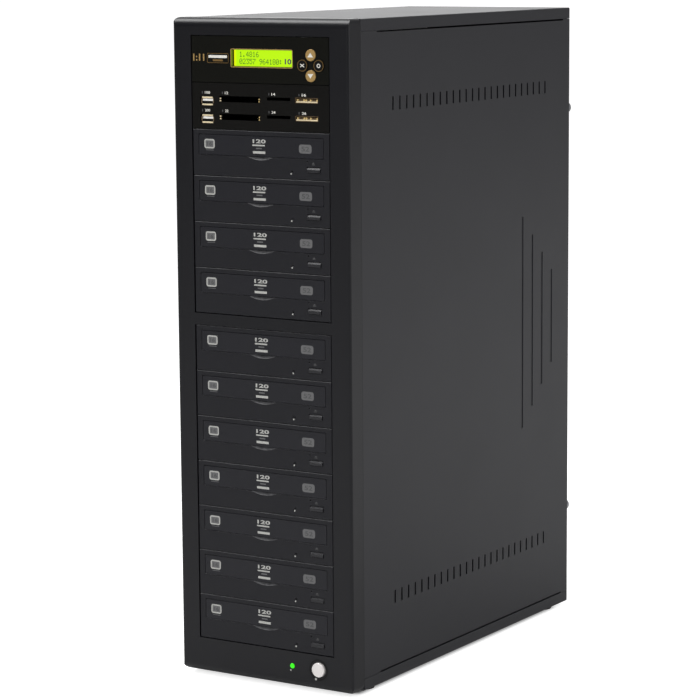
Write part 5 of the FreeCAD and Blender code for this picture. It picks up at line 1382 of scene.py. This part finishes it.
@dataclass
class DiscDrive:
    """The marks on one disc drive's door, which ride on its tray."""

    wardrobe: Wardrobe
    number: int
    thickness: float = 0.06
    badge_place: Pair = (-55.8, 13.0)
    badge_size: Pair = (11.4, 8.6)
    badge_corner: float = 2.0
    badge_line: float = 1.3

    def __post_init__(self) -> None:
        """Read where the drive's face is."""
        low, high = node_box(f"drive_bezel_{self.number:02d}")
        self.face, self.top = low.y, high.z

    def _at(self, place: Pair) -> Vector:
        """Give a place on the face, by its distance from the middle and from the top."""
        across, drop = place
        return spot((across, self.top - drop), self.face)

    def _print(self, shape: Shape, prints: tuple[Print, ...]) -> None:
        """Add some of the marks.

        Args:
            shape: Where they go.
            prints: The marks.
        """
        for mark in prints:
            at, thickness = self._at(mark.place), mark.layer * self.thickness
            if mark.text:
                shape.figures(mark.text, at, mark.size, thickness, mark.weight)
            else:
                shape.plate(at, mark.size, thickness, mark.corner)

    def build(self) -> None:
        """Make the marks."""
        body = f"tray_{self.number:02d}"
        light = Shape()
        at = self._at(self.badge_place)
        light.outline(at, self.badge_size, self.thickness, self.badge_corner, self.badge_line)
        for shape, name, prints, finish in (
            (light, "marks", LIGHT_PRINTS, PRINT_LIGHT_AND_GLINT),
            (Shape(), "badges", SOFT_PRINTS, PRINT_SOFT),
            (Shape(), "figures", FAINT_PRINTS, PRINT_FAINT),
        ):
            self._print(shape, prints)
            shape.finish(f"{body}_{name}", finish, self.wardrobe, body=body)


@dataclass
class DriveFaces:
    """The small things on all the drives' faces, which stay with the tower."""

    wardrobe: Wardrobe
    lens_place: Pair = (50.7, 25.2)
    lens_radius: float = 0.7
    lens_setback: float = 1.2
    lens_thickness: float = 0.6
    # A light disc under each pinhole is a painted glint in the pinhole's dish.
    glint_place: Pair = (33.2, 37.2)
    glint_radius: float = 0.75
    dot_sides: int = 16
    eject_place: Pair = (56.9, 27.4)
    arrow: tuple[Pair, ...] = ((-1.5, -0.1), (1.5, -0.1), (0, 1.3))
    underline_drop: float = 0.8
    underline_size: Pair = (3.0, 0.5)
    thickness: float = 0.05

    def build(self) -> None:
        """Make the lamps' lenses, the painted glints under the pinholes and the small printed
        marks.
        """
        lenses, marks, faint = Shape(), Shape(), Shape()
        for number in range(1, DRIVE_COUNT + 1):
            low, high = node_box(f"drive_bezel_{number:02d}")
            lens, glint, eject = (
                spot((across, high.z - drop), low.y)
                for across, drop in (self.lens_place, self.glint_place, self.eject_place)
            )
            lens.y += self.lens_setback
            sides = self.dot_sides
            lenses.disc(lens, self.lens_radius, self.lens_thickness, sides=sides)
            # The light discs are painted glints.
            marks.disc(glint, self.glint_radius, self.thickness, sides=sides)
            faint.flag(eject, list(self.arrow), self.thickness)
            under = eject - spot((0, self.underline_drop), 0)
            faint.plate(under, self.underline_size, self.thickness)
        lenses.finish("drive_lamp_lenses", LENS, self.wardrobe, slot="drive_plastic")
        marks.finish("drive_pinhole_glints", PRINT_LIGHT_AND_GLINT, self.wardrobe)
        faint.finish("drive_eject_marks", PRINT_FAINT, self.wardrobe)


@dataclass
class GapShadeStrip:
    """The black strip behind the gap between the two panels: a dark sheet of painted shade that
    keeps light from showing through the gap.
    """

    wardrobe: Wardrobe
    half_width: float = 72.0
    setback: float = 3.1
    thickness: float = 0.8
    below: float = 1.6
    above: float = 2.2
    edge: float = 0.2

    def build(self) -> None:
        """Make the strip."""
        low, high = node_box("card_reader_panel")
        front = low.y + self.setback
        shape = Shape()
        shape.block(
            Vector((-self.half_width, front, high.z - self.below)),
            Vector((self.half_width, front + self.thickness, high.z + self.above)),
            self.edge,
        )
        # The black strip is painted shade in the gap.
        shape.finish("panel_gap_painted_shade", SOCKET_BLACK_AND_SHADE, self.wardrobe)


# ---------- The power controls ----------


@dataclass
class PowerControls:
    """The small marks by the lamp and the power button, and a dark ring of painted shade round
    the button.

    Attributes:
        wardrobe: Where the materials come from.
        marks: Each mark's place across and up, and its radius.
        mark_thickness: The marks' thickness.
        mark_sides: How many sides each mark has.
        button_middle: The button's place across and up.
        ring_radius: The ring's radius.
        ring_line: The ring's width.
        ring_thickness: The ring's thickness.
        ring_sides: How many sides the ring has.
    """

    wardrobe: Wardrobe
    marks: tuple[tuple[Pair, float], ...] = (((27.3, 19.6), 0.8), ((54.9, 14.7), 1.15))
    mark_thickness: float = 0.08
    mark_sides: int = 20
    button_middle: Pair = (57.9, 23.7)
    ring_radius: float = 10.0
    ring_line: float = 1.1
    ring_thickness: float = 0.05
    ring_sides: int = 48

    def build(self) -> None:
        """Make the two light marks and the dark ring of painted shade."""
        face = node_box("front_bezel")[0].y
        shape, ring = Shape(), Shape()
        for place, radius in self.marks:
            at = spot(place, face)
            shape.disc(at, radius, self.mark_thickness, sides=self.mark_sides)
        shape.finish("power_marks", PRINT_LIGHT_AND_GLINT, self.wardrobe)
        # The dark ring paints the shade of the recess round the button.
        at = spot(self.button_middle, face)
        ring.disc(
            at, self.ring_radius, self.ring_thickness, self.ring_line, self.ring_sides
        )
        ring.finish("power_button_shade_ring", SOCKET_BLACK_AND_SHADE, self.wardrobe)


# ---------- The rear ----------


@dataclass
class RearFittings:
    """What is added at the back: the switch's signs and the knurls of the thumb screws."""

    wardrobe: Wardrobe
    sign_thickness: float = 0.08
    line_rise: float = 4.2
    line_size: Pair = (0.8, 3.6)
    line_corner: float = 0.3
    ring_drop: float = 4.6
    ring_radius: float = 1.9
    ring_line: float = 0.6
    ring_depth: float = 1.4
    screw_across: float = 87.5
    screw_heights: Pair = (105.0, 516.5)
    screw_gap: float = 0.7
    knurl_radius: float = 6.15
    knurl_groove: float = 6.0
    knurl_depth: float = 4.6
    knurl_count: int = 40

    def build(self) -> None:
        """Make every piece at the back."""
        self._switch_signs()
        for name, side in (("left", -1), ("right", 1)):
            self._thumb_screws(f"{name}_side_panel", f"{name}_thumb_knurls", side)

    def _switch_signs(self) -> None:
        """Make the plain line and ring on the switch."""
        low, high = node_box("psu_rocker")
        across, up = (low.x + high.x) / 2, (low.z + high.z) / 2
        shape = Shape()
        line = spot((across, up + self.line_rise), -high.y)
        ring = spot((across, up - self.ring_drop), self.ring_depth - high.y)
        shape.plate(line, self.line_size, self.sign_thickness, self.line_corner)
        shape.disc(ring, self.ring_radius, self.sign_thickness, self.ring_line)
        shape.face_rear()
        shape.finish("switch_signs", PRINT_WHITE, self.wardrobe, body="psu_rocker")

    def _thumb_screws(self, panel: str, name: str, side: int) -> None:
        """Make the knurled sleeves on one side panel's two screws.

        Args:
            panel: The side panel's node, which is its body too.
            name: The new piece's name.
            side: 1 on the right, -1 on the left.
        """
        depth = node_box(panel)[1].y - self.screw_gap
        shape = Shape()
        for height in self.screw_heights:
            at = spot((side * self.screw_across, height), depth)
            shape.knurled(
                at, self.knurl_radius, self.knurl_groove, self.knurl_depth, self.knurl_count
            )
        shape.finish(name, SCREW, self.wardrobe, body=panel)


# ---------- The studio ----------


@dataclass(frozen=True)
class Softbox:
    """One large lamp.

    Attributes:
        name: Its name.
        place: Where it hangs, in metres.
        size: Its width and height, in metres.
        power: Its power in watts.
        aim: The point that it looks at, in metres.
    """

    name: str
    place: Triple
    size: Pair
    power: float
    aim: Triple = (0.0, 0.0, 0.3)


@dataclass
class Studio:
    """The floor, the light and the camera, with lengths in metres.

    Attributes:
        floor_half: Half the floor's side.
        floor_shades: How light the floor is, from its darkest to its lightest speck.
        floor_specks: How many specks a metre of the floor has.
        floor_gloss: The floor's roughness and its specular level.
        floor_glow: How far the open floor is lifted to white for the camera.
        near_half: Half the width and the depth of the floor that keeps its shadow.
        near_fade: How far the glow takes to come in outside it.
        soft: Strength of the light from all round.
        seen: Strength of the background.
        behind: What the mirrored background's strength is from front to back.
        leftward: The share of it that is left, from left to right.
        camera_place: Where the camera is.
        camera_degrees: How it is turned.
        lens: Its focal length in millimetres.
        sensor: The width of its sensor in millimetres.
        sight: How far it sees.
        softboxes: The lamps.
    """

    floor_half: float = 30.0
    floor_shades: Pair = (0.68, 0.72)
    floor_specks: float = 40.0
    floor_gloss: Pair = (0.85, 0.1)
    floor_glow: float = 0.75
    near_half: Pair = (0.082, 0.186)
    near_fade: float = 0.012
    soft: float = 0.5
    seen: float = 1.0
    behind: tuple[Pair, Pair] = ((-0.6, 0.9), (0.10, 0.95))
    leftward: tuple[Pair, Pair] = ((-0.4, 0.4), (1.0, 0.26))
    camera_place: Triple = (1.37340, -2.24990, 0.68870)
    camera_degrees: Triple = (81.374, 0.406, 32.059)
    lens: float = 139.81
    sensor: float = 36.0
    sight: float = 100.0
    softboxes: tuple[Softbox, ...] = (
        Softbox("lamp_over", (-1.1, -0.45, 2.5), (1.1, 1.1), 40.0, (0.0, -0.1, 0.5)),
        Softbox("lamp_right", (2.2, 0.5, 1.2), (1.6, 1.6), 18.0, (0.5, 0.4, 0.0)),
        Softbox("lamp_front", (0.5, -3.0, 2.2), (1.6, 1.6), 44.0),
        Softbox("lamp_behind_right", (0.6, 1.15, 0.15), (0.5, 0.5), 0.35, (0.1, 0.1, 0.2)),
        Softbox("lamp_behind_left", (-1.08, 1.66, 0.95), (0.7, 0.7), 1.9, (0.0, -0.1, 0.6)),
    )

    def build(self) -> None:
        """Set up the whole studio."""
        self._floor()
        self._world()
        for softbox in self.softboxes:
            self._lamp(softbox)
        self._camera()
        bpy.context.scene.view_settings.view_transform = "Standard"

    def _floor(self) -> None:
        """Lay the pale floor."""
        mesh = bmesh.new()
        bmesh.ops.create_grid(mesh, x_segments=1, y_segments=1, size=self.floor_half)
        data = bpy.data.meshes.new("studio_floor")
        mesh.to_mesh(data)
        mesh.free()
        data.materials.append(self._floor_material())
        floor = bpy.data.objects.new("studio_floor", data)
        bpy.context.scene.collection.objects.link(floor)

    def _floor_material(self) -> bpy.types.Material:
        """Make the floor's finish.

        Returns:
            The material, which the camera sees as white away from the tower.
        """
        material = bpy.data.materials.new("studio_floor_pale")
        material.use_nodes = True
        material.node_tree.nodes.clear()
        graph = Graph(material.node_tree)
        place = graph.add("ShaderNodeTexCoord").outputs["Object"]
        inputs = {"Vector": place, "Scale": self.floor_specks}
        speckle = graph.add("ShaderNodeTexNoise", inputs)
        dark, light = ((shade, shade, shade, 1.0) for shade in self.floor_shades)
        roughness, specular = self.floor_gloss
        path = graph.add("ShaderNodeLightPath").outputs
        clear = graph.work_out(Step.MULTIPLY, self._clear_of_tower(graph, place), self.floor_glow)
        shader = graph.add(
            "ShaderNodeBsdfPrincipled",
            {
                "Base Color": graph.blend(speckle.outputs["Fac"], dark, light),
                "Roughness": roughness,
                "Specular IOR Level": specular,
                "Emission Color": WHITE,
                "Emission Strength": graph.work_out(Step.MULTIPLY, path["Is Camera Ray"], clear),
            },
        )
        graph.add("ShaderNodeOutputMaterial", {"Surface": shader.outputs[0]})
        return material

    def _clear_of_tower(
        self, graph: Graph, place: bpy.types.NodeSocket
    ) -> bpy.types.NodeSocket:
        """Tell the open floor from the floor under the tower.

        Args:
            graph: The floor's graph.
            place: The output that tells where on the floor a point is.

        Returns:
            A mask: 0 under the tower, and 1 a little way outside it.
        """
        axes = graph.axes(place)
        squares = []
        for axis, half in zip("XY", self.near_half):
            past = graph.work_out(Step.SUBTRACT, graph.work_out(Step.UNSIGNED, axes[axis]), half)
            outside = graph.work_out(Step.LARGER, past)
            squares.append(graph.work_out(Step.MULTIPLY, outside, outside))
        distance = graph.work_out(Step.ROOT, graph.work_out(Step.ADD, *squares))
        return graph.ramp(distance, (0.0, self.near_fade))

    def _world(self) -> None:
        """Make the white background, and what lights the tower and is mirrored in it."""
        world = bpy.data.worlds.new("studio_world")
        bpy.context.scene.world = world
        world.use_nodes = True
        world.node_tree.nodes.clear()
        graph = Graph(world.node_tree)
        path = graph.add("ShaderNodeLightPath").outputs
        axes = graph.axes(graph.add("ShaderNodeTexCoord").outputs["Generated"])
        around = graph.work_out(
            Step.MULTIPLY,
            graph.ramp(axes["Y"], *self.behind),
            graph.ramp(axes["X"], *self.leftward),
        )
        soft, mirrored, seen = (
            graph.add("ShaderNodeBackground", {"Color": WHITE, "Strength": strength}).outputs[0]
            for strength in (self.soft, around, self.seen)
        )
        through = graph.work_out(
            Step.LARGER, path["Is Glossy Ray"], path["Is Transmission Ray"]
        )
        light = graph.add("ShaderNodeMixShader", {0: through, 1: soft, 2: mirrored}).outputs[0]
        inputs = {0: path["Is Camera Ray"], 1: light, 2: seen}
        shown = graph.add("ShaderNodeMixShader", inputs).outputs[0]
        graph.add("ShaderNodeOutputWorld", {"Surface": shown})

    def _lamp(self, softbox: Softbox) -> None:
        """Hang one lamp.

        Args:
            softbox: Its place, size and power.
        """
        light = bpy.data.lights.new(softbox.name, "AREA")
        light.shape = "RECTANGLE"
        light.size, light.size_y = softbox.size
        light.energy = softbox.power
        lamp = bpy.data.objects.new(softbox.name, light)
        lamp.location = softbox.place
        lamp.visible_camera = False
        look = Vector(softbox.aim) - Vector(softbox.place)
        lamp.rotation_euler = look.to_track_quat("-Z", "Y").to_euler()
        bpy.context.scene.collection.objects.link(lamp)

    def _camera(self) -> None:
        """Place the camera where the photograph was taken from."""
        data = bpy.data.cameras.new("studio_camera")
        data.lens = self.lens
        data.sensor_width = self.sensor
        data.clip_end = self.sight
        camera = bpy.data.objects.new("studio_camera", data)
        camera.location = self.camera_place
        camera.rotation_euler = [math.radians(angle) for angle in self.camera_degrees]
        bpy.context.scene.collection.objects.link(camera)
        bpy.context.scene.camera = camera


def main() -> None:
    """Build the tower's looks, piece by piece."""
    logging.basicConfig(level=logging.INFO, format="%(name)s: %(message)s")
    wardrobe = Wardrobe()
    wardrobe.dress_nodes()
    Studio().build()
    ControlPanel(wardrobe).build()
    CardReader(wardrobe).build()
    for number in range(1, DRIVE_COUNT + 1):
        DiscDrive(wardrobe, number).build()
    DriveFaces(wardrobe).build()
    GapShadeStrip(wardrobe).build()
    PowerControls(wardrobe).build()
    RearFittings(wardrobe).build()


if __name__ == "__main__":
    main()
